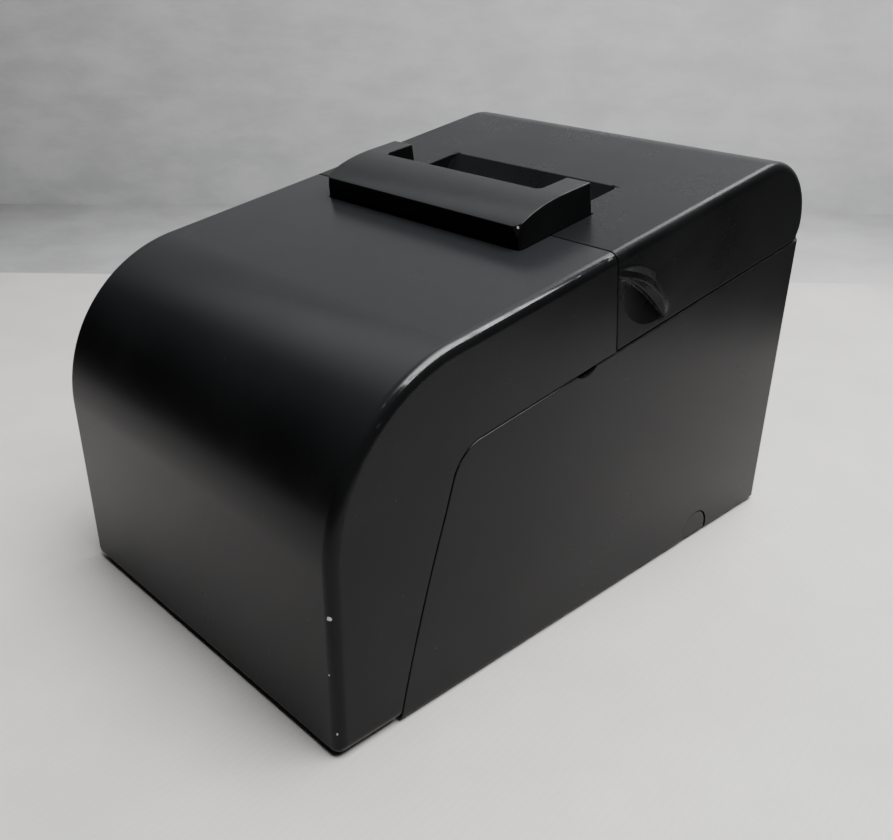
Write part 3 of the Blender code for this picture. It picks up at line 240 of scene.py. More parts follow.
AXIS_TURNS = {
    "X": Matrix.Rotation(math.pi / 2, 4, "Y"),
    "Y": Matrix.Rotation(-math.pi / 2, 4, "X"),
    "Z": Matrix.Identity(4),
}


def cylinder(name, start, axis, radius, length, sides=48):
    """A cylinder that runs from start along +X, +Y or +Z."""
    shape = bmesh.new()
    bmesh.ops.create_cone(
        shape, cap_ends=True, segments=sides, radius1=radius, radius2=radius, depth=length
    )
    bmesh.ops.translate(shape, vec=(0, 0, length / 2), verts=shape.verts)
    place = Matrix.Translation(start) @ AXIS_TURNS[axis]
    bmesh.ops.transform(shape, matrix=place, verts=shape.verts)
    return add_object(name, shape)


def loft(name, rings):
    """A closed body through rings that have the same number of points."""
    shape = bmesh.new()
    rows = [[shape.verts.new(point) for point in ring] for ring in rings]
    for here, there in zip(rows, rows[1:]):
        for i in range(len(here)):
            shape.faces.new((here[i - 1], here[i], there[i], there[i - 1]))
    shape.faces.new(rows[0])
    shape.faces.new(rows[-1])
    return add_object(name, shape)


OUTLINE_PLANES = {
    "X": lambda u, v, w: (w, u, v),
    "Y": lambda u, v, w: (u, w, v),
    "Z": lambda u, v, w: (u, v, w),
}


def prism(name, outline, axis, low, high):
    """A flat outline extruded along an axis from low to high."""
    place = OUTLINE_PLANES[axis]
    shape = bmesh.new()
    near = shape.faces.new([shape.verts.new(place(u, v, low)) for u, v in outline])
    grown = bmesh.ops.extrude_face_region(shape, geom=[near])["geom"]
    moved = [part for part in grown if isinstance(part, bmesh.types.BMVert)]
    bmesh.ops.translate(shape, vec=place(0, 0, high - low), verts=moved)
    return add_object(name, shape)


def arc(centre, radius, start, end, steps):
    """Points on an arc; angles in radians, both ends included."""
    turn = (end - start) / steps
    return [
        (
            centre[0] + radius * math.cos(start + turn * i),
            centre[1] + radius * math.sin(start + turn * i),
        )
        for i in range(steps + 1)
    ]


def rounded(corners, steps=6):
    """An outline from (u, v, radius) corners, with an arc at each corner that has a radius."""
    points = []
    for index, (u, v, radius) in enumerate(corners):
        here = Vector((u, v))
        if radius == 0:
            points.append((u, v))
            continue
        before = (Vector(corners[index - 1][:2]) - here).normalized()
        after = (Vector(corners[(index + 1) % len(corners)][:2]) - here).normalized()
        half = before.angle(after) / 2
        centre = here + (before + after).normalized() * radius / math.sin(half)
        first = here + before * radius / math.tan(half) - centre
        last = here + after * radius / math.tan(half) - centre
        start = math.atan2(first.y, first.x)
        sweep = (math.atan2(last.y, last.x) - start + math.pi) % (2 * math.pi) - math.pi
        points += arc(centre, radius, start, start + sweep, steps)
    return points


def bake(target):
    """Applies the object's modifiers."""
    bpy.context.view_layer.update()
    graph = bpy.context.evaluated_depsgraph_get()
    mesh = bpy.data.meshes.new_from_object(target.evaluated_get(graph))
    target.modifiers.clear()
    target.data = mesh


def combine(target, tool, operation, spare=False):
    """A Boolean step that is applied at once; the tool is removed unless it is spare."""
    step = target.modifiers.new("step", "BOOLEAN")
    step.operation = operation
    step.solver = "MANIFOLD"
    step.object = tool
    bake(target)
    if not spare:
        bpy.data.objects.remove(tool)


def cut(target, tool, **choices):
    """Takes the tool's body away from the target."""
    combine(target, tool, "DIFFERENCE", **choices)


def join(target, tool, **choices):
    """Adds the tool's body to the target."""
    combine(target, tool, "UNION", **choices)


def keep(target, tool, **choices):
    """Keeps what the target and the tool have in common."""
    combine(target, tool, "INTERSECT", **choices)


MERGE_DISTANCE = 0.004 * MM
FLAT_ANGLE = math.radians(0.4)


def bevel_edges(target, width, steps, weight):
    """Bevels the edges for which weight(start, end) is over zero, at that share of width."""
    mesh = target.data
    values = mesh.attributes.new("bevel_weight_edge", "FLOAT", "EDGE").data
    for edge, value in zip(mesh.edges, values):
        start, end = (mesh.vertices[i].co for i in edge.vertices)
        value.value = weight(start, end)
    step = target.modifiers.new("bevel", "BEVEL")
    step.limit_method = "WEIGHT"
    step.width = width
    step.segments = steps
    step.use_clamp_overlap = False
    bake(target)


def soften(target, width, plain=None, sharp=math.radians(35)):
    """Rounds every sharp edge a little, but for plain ones, and shades the rest smooth."""
    shape = bmesh.new()
    shape.from_mesh(target.data)
    bmesh.ops.remove_doubles(shape, verts=shape.verts, dist=MERGE_DISTANCE)
    bmesh.ops.dissolve_limit(
        shape, angle_limit=FLAT_ANGLE, verts=shape.verts, edges=shape.edges
    )
    bmesh.ops.triangulate(shape, faces=[face for face in shape.faces if len(face.verts) > 4])
    layers = shape.edges.layers.float
    share = layers.get("bevel_weight_edge") or layers.new("bevel_weight_edge")
    for face in shape.faces:
        face.smooth = True
    for edge in shape.edges:
        middle = (edge.verts[0].co + edge.verts[1].co) / 2
        left_plain = plain is not None and plain(middle)
        is_sharp = edge.calc_face_angle(0) > sharp
        edge.smooth = not (is_sharp and left_plain)
        edge[share] = float(is_sharp and not left_plain)
    shape.to_mesh(target.data)
    shape.free()
    step = target.modifiers.new("edges", "BEVEL")
    step.limit_method = "WEIGHT"
    step.width = width
    step.segments = 2
    step.use_clamp_overlap = False
    step.harden_normals = False
    step.face_strength_mode = "FSTR_ALL"
    step = target.modifiers.new("normals", "WEIGHTED_NORMAL")
    step.keep_sharp = True
    step.use_face_influence = True
    step.weight = 60
    bake(target)


# ---------------------------------------------------------------- viewpoint
CAMERA_PLACE = Vector((0.26365, -0.25345, 0.22619))
CAMERA_AZIMUTH = math.radians(45.935)
CAMERA_ELEVATION = math.radians(27.802)
CAMERA_ROLL = math.radians(0.722)
CAMERA_LENS = 39.68
CAMERA_SHIFT = (-0.0014, 0.0402)


# ---------------------------------------------------------------- material helpers
class Paint:
    """A node material in the making. Patterns lie in the object's own space."""

    def __init__(self, name):
        self.material = bpy.data.materials.new(name)
        self.material.use_nodes = True
        self.tree = self.material.node_tree
        self.shader = self.tree.nodes["Principled BSDF"]
        self.place = self.add("ShaderNodeTexCoord").outputs["Object"]

    def add(self, kind, **settings):
        """A new node with its settings."""
        node = self.tree.nodes.new(kind)
        for key, value in settings.items():
            setattr(node, key, value)
        return node

    def feed(self, socket, value):
        """Links an output to a socket, or sets the socket to a number or colour."""
        if isinstance(value, bpy.types.NodeSocket):
            self.tree.links.new(value, socket)
        else:
            socket.default_value = value

    def set(self, **inputs):
        """Sets the surface shader's inputs."""
        for name, value in inputs.items():
            self.feed(self.shader.inputs[name.replace("_", " ")], value)

    def math(self, operation, *values):
        """The result of one calculation on numbers or outputs."""
        node = self.add("ShaderNodeMath", operation=operation)
        for socket, value in zip(node.inputs, values):
            self.feed(socket, value)
        return node.outputs[0]

    def stretched(self, factors):
        """The place, scaled by a factor along each axis."""
        node = self.add("ShaderNodeMapping")
        self.feed(node.inputs["Vector"], self.place)
        node.inputs["Scale"].default_value = factors
        return node.outputs["Vector"]

    def noise(self, size, detail=2.0, roughness=0.5, factors=None):
        """Noise whose blobs are about size metres across, from 0 to 1."""
        node = self.add("ShaderNodeTexNoise")
        self.feed(node.inputs["Vector"], self.stretched(factors) if factors else self.place)
        node.inputs["Scale"].default_value = 1 / size
        node.inputs["Detail"].default_value = detail
        node.inputs["Roughness"].default_value = roughness
        return node.outputs["Fac"]

    def between(self, value, low, high, out_low=0.0, out_high=1.0):
        """Maps low..high to out_low..out_high, smoothly and clamped."""
        node = self.add("ShaderNodeMapRange")
        node.interpolation_type = "SMOOTHSTEP"
        for name, item in (
            ("Value", value), ("From Min", low), ("From Max", high),
            ("To Min", out_low), ("To Max", out_high),
        ):
            self.feed(node.inputs[name], item)
        return node.outputs["Result"]

    def specks(self, spacing, size, share):
        """Sparse round specks; share is the part of the cells that has one."""
        node = self.add("ShaderNodeTexVoronoi")
        self.feed(node.inputs["Vector"], self.place)
        node.inputs["Scale"].default_value = 1 / spacing
        tone = self.add("ShaderNodeSeparateColor")
        self.feed(tone.inputs[0], node.outputs["Color"])
        chosen = self.math("LESS_THAN", tone.outputs[0], share)
        reach = self.math("MULTIPLY", tone.outputs[1], size / spacing)
        inside = self.math("LESS_THAN", node.outputs["Distance"], reach)
        return self.math("MULTIPLY", chosen, inside)

    def mixed(self, share, first, second):
        """A colour between first and second."""
        node = self.add("ShaderNodeMix", data_type="RGBA")
        self.feed(node.inputs["Factor"], share)
        self.feed(node.inputs[6], (*first, 1.0) if isinstance(first, tuple) else first)
        self.feed(node.inputs[7], (*second, 1.0) if isinstance(second, tuple) else second)
        return node.outputs[2]

    def blended(self, share, first, second):
        """A number between first and second."""
        node = self.add("ShaderNodeMix", data_type="FLOAT")
        for socket, value in zip(node.inputs[:1] + node.inputs[2:4], (share, first, second)):
            self.feed(socket, value)
        return node.outputs[0]

    def bump(self, height, depth, under=None):
        """A normal from a height of 0 to 1 that stands for depth metres."""
        node = self.add("ShaderNodeBump")
        node.inputs["Distance"].default_value = depth
        self.feed(node.inputs["Height"], height)
        if under is not None:
            self.feed(node.inputs["Normal"], under)
        return node.outputs["Normal"]

    def edges(self, radius, low=0.97, high=0.88):
        """1 on convex and concave edges narrower than radius, 0 on open faces."""
        edge = self.add("ShaderNodeBevel", samples=4)
        edge.inputs["Radius"].default_value = radius
        flat = self.add("ShaderNodeNewGeometry").outputs["Normal"]
        node = self.add("ShaderNodeVectorMath", operation="DOT_PRODUCT")
        self.feed(node.inputs[0], edge.outputs["Normal"])
        self.feed(node.inputs[1], flat)
        return self.between(node.outputs["Value"], low, high)

    def normal_part(self, axis):
        """Size of the surface normal's part along the object's X, Y or Z."""
        turn = self.add(
            "ShaderNodeVectorTransform", vector_type="NORMAL", convert_from="WORLD", convert_to="OBJECT"
        )
        self.feed(turn.inputs[0], self.add("ShaderNodeNewGeometry").outputs["Normal"])
        split = self.add("ShaderNodeSeparateXYZ")
        self.feed(split.inputs[0], turn.outputs[0])
        return self.math("ABSOLUTE", split.outputs[axis])

    def near(self, point, radius, ragged=0.5):
        """1 within a ragged patch of a radius round a point."""
        node = self.add("ShaderNodeVectorMath", operation="DISTANCE")
        self.feed(node.inputs[0], self.place)
        node.inputs[1].default_value = point
        wander = self.math("MULTIPLY", self.noise(radius * 0.8, 3), ragged * radius * 2)
        reach = self.math("SUBTRACT", self.math("ADD", node.outputs["Value"], wander), ragged * radius)
        return self.between(reach, radius, radius * 0.7)

    def along(self, direction):
        """How far a point lies along a level direction."""
        node = self.add("ShaderNodeVectorMath", operation="DOT_PRODUCT")
        self.feed(node.inputs[0], self.place)
        node.inputs[1].default_value = direction
        return node.outputs["Value"]

    def shade(self):
        """The grey paper's share of light: dimmer at the left, with soft creases."""
        crease = self.noise(70 * MM, 4, 0.65, (1, 1, 2.5))
        side = self.between(self.along(VIEW_RIGHT), -0.35, 0.3, -0.35, 0.35)
        return self.math("ADD", self.between(crease, 0.3, 0.7, 0.25, 0.75), side)

    def any_of(self, shares):
        """The largest of several shares."""
        total = shares[0]
        for share in shares[1:]:
            total = self.math("MAXIMUM", total, share)
        return total


# ---------------------------------------------------------------- finishes
# Beyond FLOOR_END, where the photo's horizon is, the floor is painted as the backdrop's paper.
# The fades are painted shade: they darken the floor's colour with distance and to the right,
# mostly outside the frame, so that it shows dimmer in the printer's side.
VIEW_RIGHT = Vector((math.cos(CAMERA_AZIMUTH), math.sin(CAMERA_AZIMUTH), 0))
VIEW_AWAY = Vector((-math.sin(CAMERA_AZIMUTH), math.cos(CAMERA_AZIMUTH), 0))
POLISHED = 0.1
FILM_AND_SHEEN_TINT = (0.91, 1, 1.1)
FLOOR_FADE = (0.4, 0.9)
RIGHT_FADE = (0.3, 0.42)
FLOOR_END = 0.348
PAPER_UPRIGHT = ((0.37, 0.372, 0.375), (0.56, 0.563, 0.575))
# PAPER_FLAT is the backdrop's paper toned darker: painted shade for the paper lying flat.
PAPER_FLAT = ((0.33, 0.332, 0.335), (0.5, 0.503, 0.51))


def moulded(
    name, colour, roughness, grain=0.55 * MM, relief=0.0015 * MM, dust=0.25, rub_and_highlight=0.35,
    rub_and_highlight_from=0.42, specular=0.5, film_and_sheen=0.0, chips_and_glints=(), scuffed=None,
):
    """Moulded plastic: spark-eroded grain, hand smudges, dust, rubbed edges and a few chips.

    The film on upward faces is dust and a painted sheen; the edge rub, strongest on the hood, is wear
    and a painted highlight line; the hood's chips include a painted glint.
    """
    paint = Paint(name)
    smudge = paint.noise(38 * MM, 4, 0.6)
    grain_height = paint.noise(grain, 2, 0.6)
    pits = paint.noise(2.2 * MM, 3, 0.6)
    dark = tuple(c * 0.82 for c in colour)
    light = tuple(c * 1.3 + 0.0004 for c in colour)
    tone = paint.mixed(paint.between(smudge, 0.3, 0.7), dark, light)
    dusty = tuple(0.16 + c for c in colour)
    specks = paint.specks(4 * MM, 0.3 * MM, dust)
    tone = paint.mixed(paint.math("MULTIPLY", specks, 0.3), tone, dusty)
    # A pale bluish film on upward faces: dust, and a painted sheen that lightens the tops.
    if film_and_sheen:
        upward = paint.between(paint.normal_part(2), 0.45, 0.98)
        tone = paint.mixed(upward, tone, tuple(film_and_sheen * share + c for c, share in zip(colour, FILM_AND_SHEEN_TINT)))
    # The edge rub is wear and a painted highlight; at full strength on the hood it paints a highlight
    # line.
    rubbed_and_highlit = paint.math(
        "MULTIPLY", paint.edges(0.5 * MM), paint.between(paint.noise(3 * MM, 4), rub_and_highlight_from, 0.66, 0, rub_and_highlight)
    )
    tone = paint.mixed(rubbed_and_highlit, tone, tuple(0.1 + c * 1.5 for c in colour))
    gloss = paint.between(smudge, 0.25, 0.75, roughness * 0.9, roughness * 1.12)
    gloss = paint.math("ADD", gloss, paint.between(pits, 0.35, 0.7, -0.008, 0.012))
    if scuffed:
        scratches, polish = scuffed(paint)
        tone = paint.mixed(paint.math("MULTIPLY", scratches, 0.5), tone, tuple(0.3 + c for c in colour))
        gloss = paint.blended(polish, gloss, POLISHED)
        specular = paint.blended(polish, specular, 0.5)
    # The chips are wear, except the hood's right front one, which is a painted glint.
    if chips_and_glints:
        chip_and_glint = paint.any_of([paint.near(point, radius) for point, radius in chips_and_glints])
        tone = paint.mixed(chip_and_glint, tone, (0.62, 0.62, 0.6))
        gloss = paint.blended(chip_and_glint, gloss, 0.6)
    paint.set(Base_Color=tone, Roughness=gloss, Specular_IOR_Level=specular)
    fine = paint.bump(grain_height, relief)
    paint.set(Normal=paint.bump(paint.noise(9 * MM, 2), 0.005 * MM, fine))
    return paint.material


def metal(name, colour, roughness, brushed=None, stain=0.15, metallic=1.0):
    """Plated or polished metal: draw lines along an axis, dull patches and bright edges."""
    paint = Paint(name)
    factors = {"X": (0.04, 1, 1), "Y": (1, 0.04, 1), "Z": (1, 1, 0.04)}.get(brushed, (1, 1, 1))
    lines = paint.noise(0.35 * MM, 3, 0.6, factors)
    patches = paint.noise(14 * MM, 4, 0.6)
    dull = tuple(c * (1 - stain) for c in colour)
    tone = paint.mixed(paint.between(patches, 0.35, 0.7), colour, dull)
    bright = tuple(min(1.0, c * 1.25 + 0.05) for c in colour)
    tone = paint.mixed(paint.math("MULTIPLY", paint.edges(0.3 * MM), 0.6), tone, bright)
    gloss = paint.between(patches, 0.3, 0.7, roughness * 0.85, roughness * 1.25)
    gloss = paint.math("ADD", gloss, paint.between(lines, 0.3, 0.7, -0.05, 0.05))
    paint.set(Base_Color=tone, Roughness=gloss, Metallic=metallic)
    paint.set(Normal=paint.bump(lines, 0.006 * MM))
    return paint.material


def rubbery(name, colour, roughness, grain=0.3 * MM, dust=0.3):
    """Rubber: matt, slightly bloomed and dusty."""
    paint = Paint(name)
    bloom = paint.noise(6 * MM, 4, 0.65)
    tone = paint.mixed(paint.between(bloom, 0.4, 0.75), colour, tuple(c + 0.035 for c in colour))
    specks = paint.specks(2.5 * MM, 0.5 * MM, dust)
    tone = paint.mixed(paint.math("MULTIPLY", specks, 0.5), tone, (0.2, 0.2, 0.19))
    paint.set(Base_Color=tone, Roughness=paint.between(bloom, 0.3, 0.7, roughness, roughness + 0.1))
    paint.set(Normal=paint.bump(paint.noise(grain, 3), 0.03 * MM))
    return paint.material


def lens(name, colour):
    """A tinted indicator lens with a faint diffusing texture."""
    paint = Paint(name)
    cloud = paint.noise(0.8 * MM, 2)
    tone = paint.mixed(cloud, tuple(c * 0.7 for c in colour), colour)
    paint.set(Base_Color=tone, Roughness=paint.between(cloud, 0.3, 0.7, 0.1, 0.22))
    paint.set(Transmission_Weight=0.25, IOR=1.49, Coat_Weight=0.5)
    paint.set(Normal=paint.bump(cloud, 0.01 * MM))
    return paint.material


def circuit_board():
    """Solder mask over copper tracks, with a tinned pad here and there."""
    paint = Paint("board")
    bricks = paint.add("ShaderNodeTexBrick", offset=0.37, squash=0.6)
    paint.feed(bricks.inputs["Vector"], paint.place)
    bricks.inputs["Scale"].default_value = 1 / (9 * MM)
    bricks.inputs["Mortar Size"].default_value = 0.035
    tracks = paint.between(bricks.outputs["Fac"], 0.2, 0.8)
    green = (0.012, 0.085, 0.04)
    tone = paint.mixed(tracks, green, (0.03, 0.16, 0.07))
    pads = paint.specks(4 * MM, 1.6 * MM, 0.35)
    low = paint.add("ShaderNodeSeparateXYZ")
    paint.feed(low.inputs[0], paint.place)
    on_board = paint.math("LESS_THAN", low.outputs["Z"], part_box("main_board")[0].z + 1.9 * MM)
    pads = paint.math("MULTIPLY", pads, on_board)
    tone = paint.mixed(pads, tone, (0.72, 0.7, 0.64))
    tone = paint.mixed(on_board, (0.02, 0.02, 0.022), tone)
    paint.set(Base_Color=tone, Roughness=paint.blended(pads, 0.32, 0.25), Metallic=pads)
    paint.set(Normal=paint.bump(tracks, 0.035 * MM))
    return paint.material


def woven_floor():
    """Pale table covering with fine ribs and a faint mottling, and painted shade far off and to the
    right.
    """
    paint = Paint("floor_covering")
    ribs = paint.add("ShaderNodeTexWave", bands_direction="X")
    turn = paint.add("ShaderNodeMapping")
    paint.feed(turn.inputs["Vector"], paint.place)
    turn.inputs["Rotation"].default_value = (0, 0, math.radians(-8))
    paint.feed(ribs.inputs["Vector"], turn.outputs["Vector"])
    ribs.inputs["Scale"].default_value = 1 / (8.5 * MM)
    ribs.inputs["Distortion"].default_value = 0.8
    mottle = paint.noise(60 * MM, 4, 0.6)
    tone = paint.mixed(paint.between(mottle, 0.3, 0.7), (0.605, 0.583, 0.573), (0.665, 0.643, 0.628))
    tone = paint.mixed(paint.math("MULTIPLY", ribs.outputs["Fac"], 0.12), tone, (0.5, 0.48, 0.47))
    away = paint.add("ShaderNodeVectorMath", operation="LENGTH")
    paint.feed(away.inputs[0], paint.place)
    painted_distance_shade = paint.between(away.outputs["Value"], *FLOOR_FADE, 0.0, 0.85)
    painted_right_shade = paint.between(paint.along(VIEW_RIGHT), *RIGHT_FADE, 0.0, 0.95)
    beyond = paint.between(paint.along(VIEW_AWAY), FLOOR_END, FLOOR_END + 1 * MM)
    tone = paint.mixed(painted_right_shade, tone, (0.04, 0.04, 0.04))
    tone = paint.mixed(beyond, tone, paint.mixed(paint.shade(), *PAPER_FLAT))
    tone = paint.mixed(painted_distance_shade, tone, (0.05, 0.05, 0.05))
    paint.set(Base_Color=tone, Roughness=0.75)
    paint.set(Normal=paint.bump(ribs.outputs["Fac"], 0.05 * MM))
    return paint.material


def backdrop_cloth():
    """Grey paper behind the table, with painted shade: dimmer at the left, with soft creases."""
    paint = Paint("backdrop_paper")
    tone = paint.mixed(paint.shade(), *PAPER_UPRIGHT)
    paint.set(Base_Color=tone, Roughness=0.9)
    return paint.material


# ---------------------------------------------------------------- materials
SCUFFED_SPOT = Vector((79, -40, 130)) * MM


def side_scuffs(paint):
    """Streaky wear along the rounded side edges of the covers."""
    across = paint.normal_part(0)
    on_fillet = paint.math(
        "MULTIPLY", paint.between(across, 0.35, 0.6), paint.between(across, 0.9, 0.75)
    )
    streaks = paint.noise(1.6 * MM, 4, 0.65, (1, 0.12, 0.3))
    worn = paint.near(SCUFFED_SPOT, 75 * MM, 0.1)
    rubbed_and_highlit = paint.math("MULTIPLY", on_fillet, worn)
    scratches = paint.math("MULTIPLY", rubbed_and_highlit, paint.between(streaks, 0.6, 0.7))
    return scratches, paint.math("MULTIPLY", rubbed_and_highlit, paint.between(streaks, 0.35, 0.5, 0.4, 1))


CHIPS = (
    (Vector((78.0, -119.9, 54.0)) * MM, 0.9 * MM),
    (Vector((78.2, -119.2, 10.5)) * MM, 0.8 * MM),
    (Vector((78.0, -118.9, 4.6)) * MM, 0.9 * MM),
    (Vector((77.0, -120.2, 33.0)) * MM, 0.4 * MM),
)
# The right front corner's spot is a painted glint at the end of the hood's highlight line; the left one
# is a small chip.
HOOD_CHIPS_AND_GLINT = (
    (Vector((50.2, HOOD_LOW.y / MM + 0.8, HOOD_FRONT_TOP / MM)) * MM, 0.5 * MM),
    (Vector((-50.0, HOOD_LOW.y / MM + 0.8, HOOD_FRONT_TOP / MM)) * MM, 0.3 * MM),
)

CASE_COLOUR = (0.0046, 0.0048, 0.0051)
MATERIALS = {
    "case_black": moulded(
        "case_black", CASE_COLOUR, 0.24, specular=0.13, film_and_sheen=0.011, chips_and_glints=CHIPS, scuffed=side_scuffs
    ),
    "inner_black": moulded("inner_black", (0.02, 0.02, 0.021), 0.5, grain=0.4 * MM),
    "jack_plastic": moulded("jack_plastic", (0.035, 0.035, 0.036), 0.42, grain=0.3 * MM),
    "control_grey": moulded("control_grey", (0.06, 0.062, 0.065), 0.42, grain=0.35 * MM),
    "ribbon_case": moulded("ribbon_case", (0.03, 0.031, 0.034), 0.38, grain=0.4 * MM),
    "gear_nylon": moulded("gear_nylon", (0.62, 0.59, 0.5), 0.42, grain=0.5 * MM, dust=0.1),
    "label": moulded("label", (0.42, 0.42, 0.4), 0.45, grain=0.2 * MM, relief=0.005 * MM),
    "connector_shell": metal("connector_shell", (0.6, 0.6, 0.6), 0.28),
    "zinc_steel": metal("zinc_steel", (0.52, 0.53, 0.54), 0.36, "Y", 0.22),
    "polished_steel": metal("polished_steel", (0.68, 0.68, 0.69), 0.16, "X", 0.08),
    "motor_can": metal("motor_can", (0.33, 0.33, 0.34), 0.4, "Z", 0.2, 0.85),
    "rubber": rubbery("rubber", (0.012, 0.012, 0.012), 0.8),
    "belt_rubber": rubbery("belt_rubber", (0.018, 0.018, 0.018), 0.7),
    "board": circuit_board(),
    "green_lens": lens("green_lens", (0.05, 0.4, 0.1)),
    "amber_lens": lens("amber_lens", (0.65, 0.26, 0.03)),
}
# The hood's full edge rub and its corner glint are painted highlight.
HOOD_BLACK = moulded(
    "hood_black", CASE_COLOUR, 0.24, specular=0.17, film_and_sheen=0.003, rub_and_highlight=1, rub_and_highlight_from=0.2, chips_and_glints=HOOD_CHIPS_AND_GLINT
)
LID_BLACK = moulded("lid_black", CASE_COLOUR, 0.29, specular=0.095, film_and_sheen=0.004, rub_and_highlight=0.12)


def wear(piece, paint):
    """Gives a piece one material."""
    piece.data.materials.clear()
    piece.data.materials.append(paint)


def stand_for(piece, node, paint, edge=SMALL_EDGE, plain=None):
    """Finishes a piece and shows it in place of a CAD node."""
    soften(piece, edge, plain)
    wear(piece, paint)
    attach(piece, NODES[node]["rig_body"])
    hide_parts(node)


# ---------------------------------------------------------------- casing outlines
def skin_outline(inset, bottom):
    """Side view of the covers' skin, moved inwards by inset and cut off at the bottom."""
    lip_centre = (REAR_Y - REAR_LIP_RADIUS, REAR_ARC.y)
    slope_normal = math.pi / 2 + SLOPE_ANGLE
    points = [(FRONT_Y + inset, bottom)]
    points += arc(FRONT_ARC, FRONT_ARC_RADIUS - inset, math.pi, slope_normal, 56)
    points += arc(REAR_ARC, REAR_ARC_RADIUS - inset, slope_normal, 0, 32)
    points += arc(lip_centre, REAR_LIP_RADIUS - inset, 0, -REAR_LIP_ANGLE, 8)[1:]
    points.append((points[-1][0], bottom))
    return points


def seam_outline(gap, reach_y, reach_z):
    """The base's front and top edges moved out by gap, then closed around the far corner."""
    toe = Vector((SEAM_TOE_Y, BODY_BOTTOM))
    knee = Vector((SEAM_KNEE_Y, seam_height(SEAM_KNEE_Y)))
    along = (knee - toe).normalized()
    out = Vector((-along.y, along.x))
    rise = gap / math.cos(math.atan(SEAM_SLOPE))
    steps = 14
    straight = [
        toe.lerp(knee, 0.85 * i / steps) + out * (SEAM_BOW * 4 * (i / steps) * (1 - i / steps) + gap)
        for i in range(steps)
    ]
    knee_out = knee + out * gap + along * gap
    corner = rounded(
        [
            (straight[-1].x, straight[-1].y, 0),
            (knee_out.x, seam_height(knee_out.x) + rise, SEAM_CORNER_RADIUS + gap),
            (reach_y, seam_height(reach_y) + rise, 0),
        ],
        16,
    )
    return [tuple(point) for point in straight] + corner[1:] + [(reach_y, reach_z)]


def split_y(z, side):
    """Depth of the split between the two covers at height z, half a gap to one side of it."""
    return COVER_SPLIT_Y - COVER_SPLIT_LEAN * (z - seam_height(0)) + side * COVER_SPLIT_GAP / 2


def rim(start, end):
    """True for an edge in the plane of a side wall's outer face."""
    return abs(abs(start.x) - HALF_WIDTH) < 1e-6 and abs(start.x - end.x) < 1e-6


def skin_weight(start, end):
    """Full rounding around both sides and less along the toe."""
    if rim(start, end):
        return 1.0
    at_toe = all(abs(p.y - FRONT_Y) < 1e-6 and abs(p.z - BODY_BOTTOM) < 1e-6 for p in (start, end))
    return TOE_RADIUS / EDGE_RADIUS if at_toe else 0.0


def hood_opening():
    """Plan of the opening in both covers that the hood stands in."""
    outer = HOOD_HIGH.x + HOOD_CLEARANCE
    front = HOOD_FRONT_Y - HOOD_CLEARANCE
    rear = HOOD_HIGH.y + HOOD_CLEARANCE
    return rounded([
        (-outer, front, NOTCH_CORNER), (outer, front, NOTCH_CORNER), (outer, rear, 0), (-outer, rear, 0)
    ], 10)


def skin_and_hollow():
    """The rounded outer body that both covers are cut from, and the room inside it."""
    skin = prism("skin", skin_outline(0, BODY_BOTTOM), "X", -HALF_WIDTH, HALF_WIDTH)
    bevel_edges(skin, EDGE_RADIUS, 8, skin_weight)
    inner = HALF_WIDTH - WALL
    hollow = prism("hollow", skin_outline(WALL, -OUTSIDE), "X", -inner, inner)
    return skin, hollow


SKIN, HOLLOW = skin_and_hollow()


# ---------------------------------------------------------------- covers, base and hood
def make_front_cover():
    """The front cover: rounded skin, hinge bosses and the front of the hood's opening."""
    region = seam_outline(FRONT_COVER_GAP, split_y(seam_height(0), -1), 0)[:-1]
    region.append((split_y(FAR * 2, -1), FAR * 2))
    region += [(FRONT_Y - OUTSIDE, FAR * 2), (FRONT_Y - OUTSIDE, -OUTSIDE), (region[0][0], -OUTSIDE)]
    cover = prism("front_cover_shell", region, "X", -FAR, FAR)
    keep(cover, SKIN, spare=True)
    cut(cover, HOLLOW, spare=True)
    for side, sign in SIDES:
        wall = sign * (HALF_WIDTH - 1 * MM)
        boss_end = sign * BOSS_END_X
        start = (min(boss_end, wall), FRONT_HINGE.y, FRONT_HINGE.z)
        join(cover, cylinder(
            f"boss_{side}", start, "X", BOSS_RADIUS, abs(wall - boss_end), sides=40
        ))
        hole_end = min(sign * x for x in BOSS_HOLE_X)
        cut(cover, cylinder(
            f"boss_hole_{side}", (hole_end, FRONT_HINGE.y, FRONT_HINGE.z), "X",
            FRONT_PIN_HOLE, BOSS_HOLE_X[1] - BOSS_HOLE_X[0], sides=32
        ))
    cut(cover, prism("hood_opening", hood_opening(), "Z", *ABOVE_BASE))
    stand_for(cover, "front_cover", MATERIALS["case_black"])


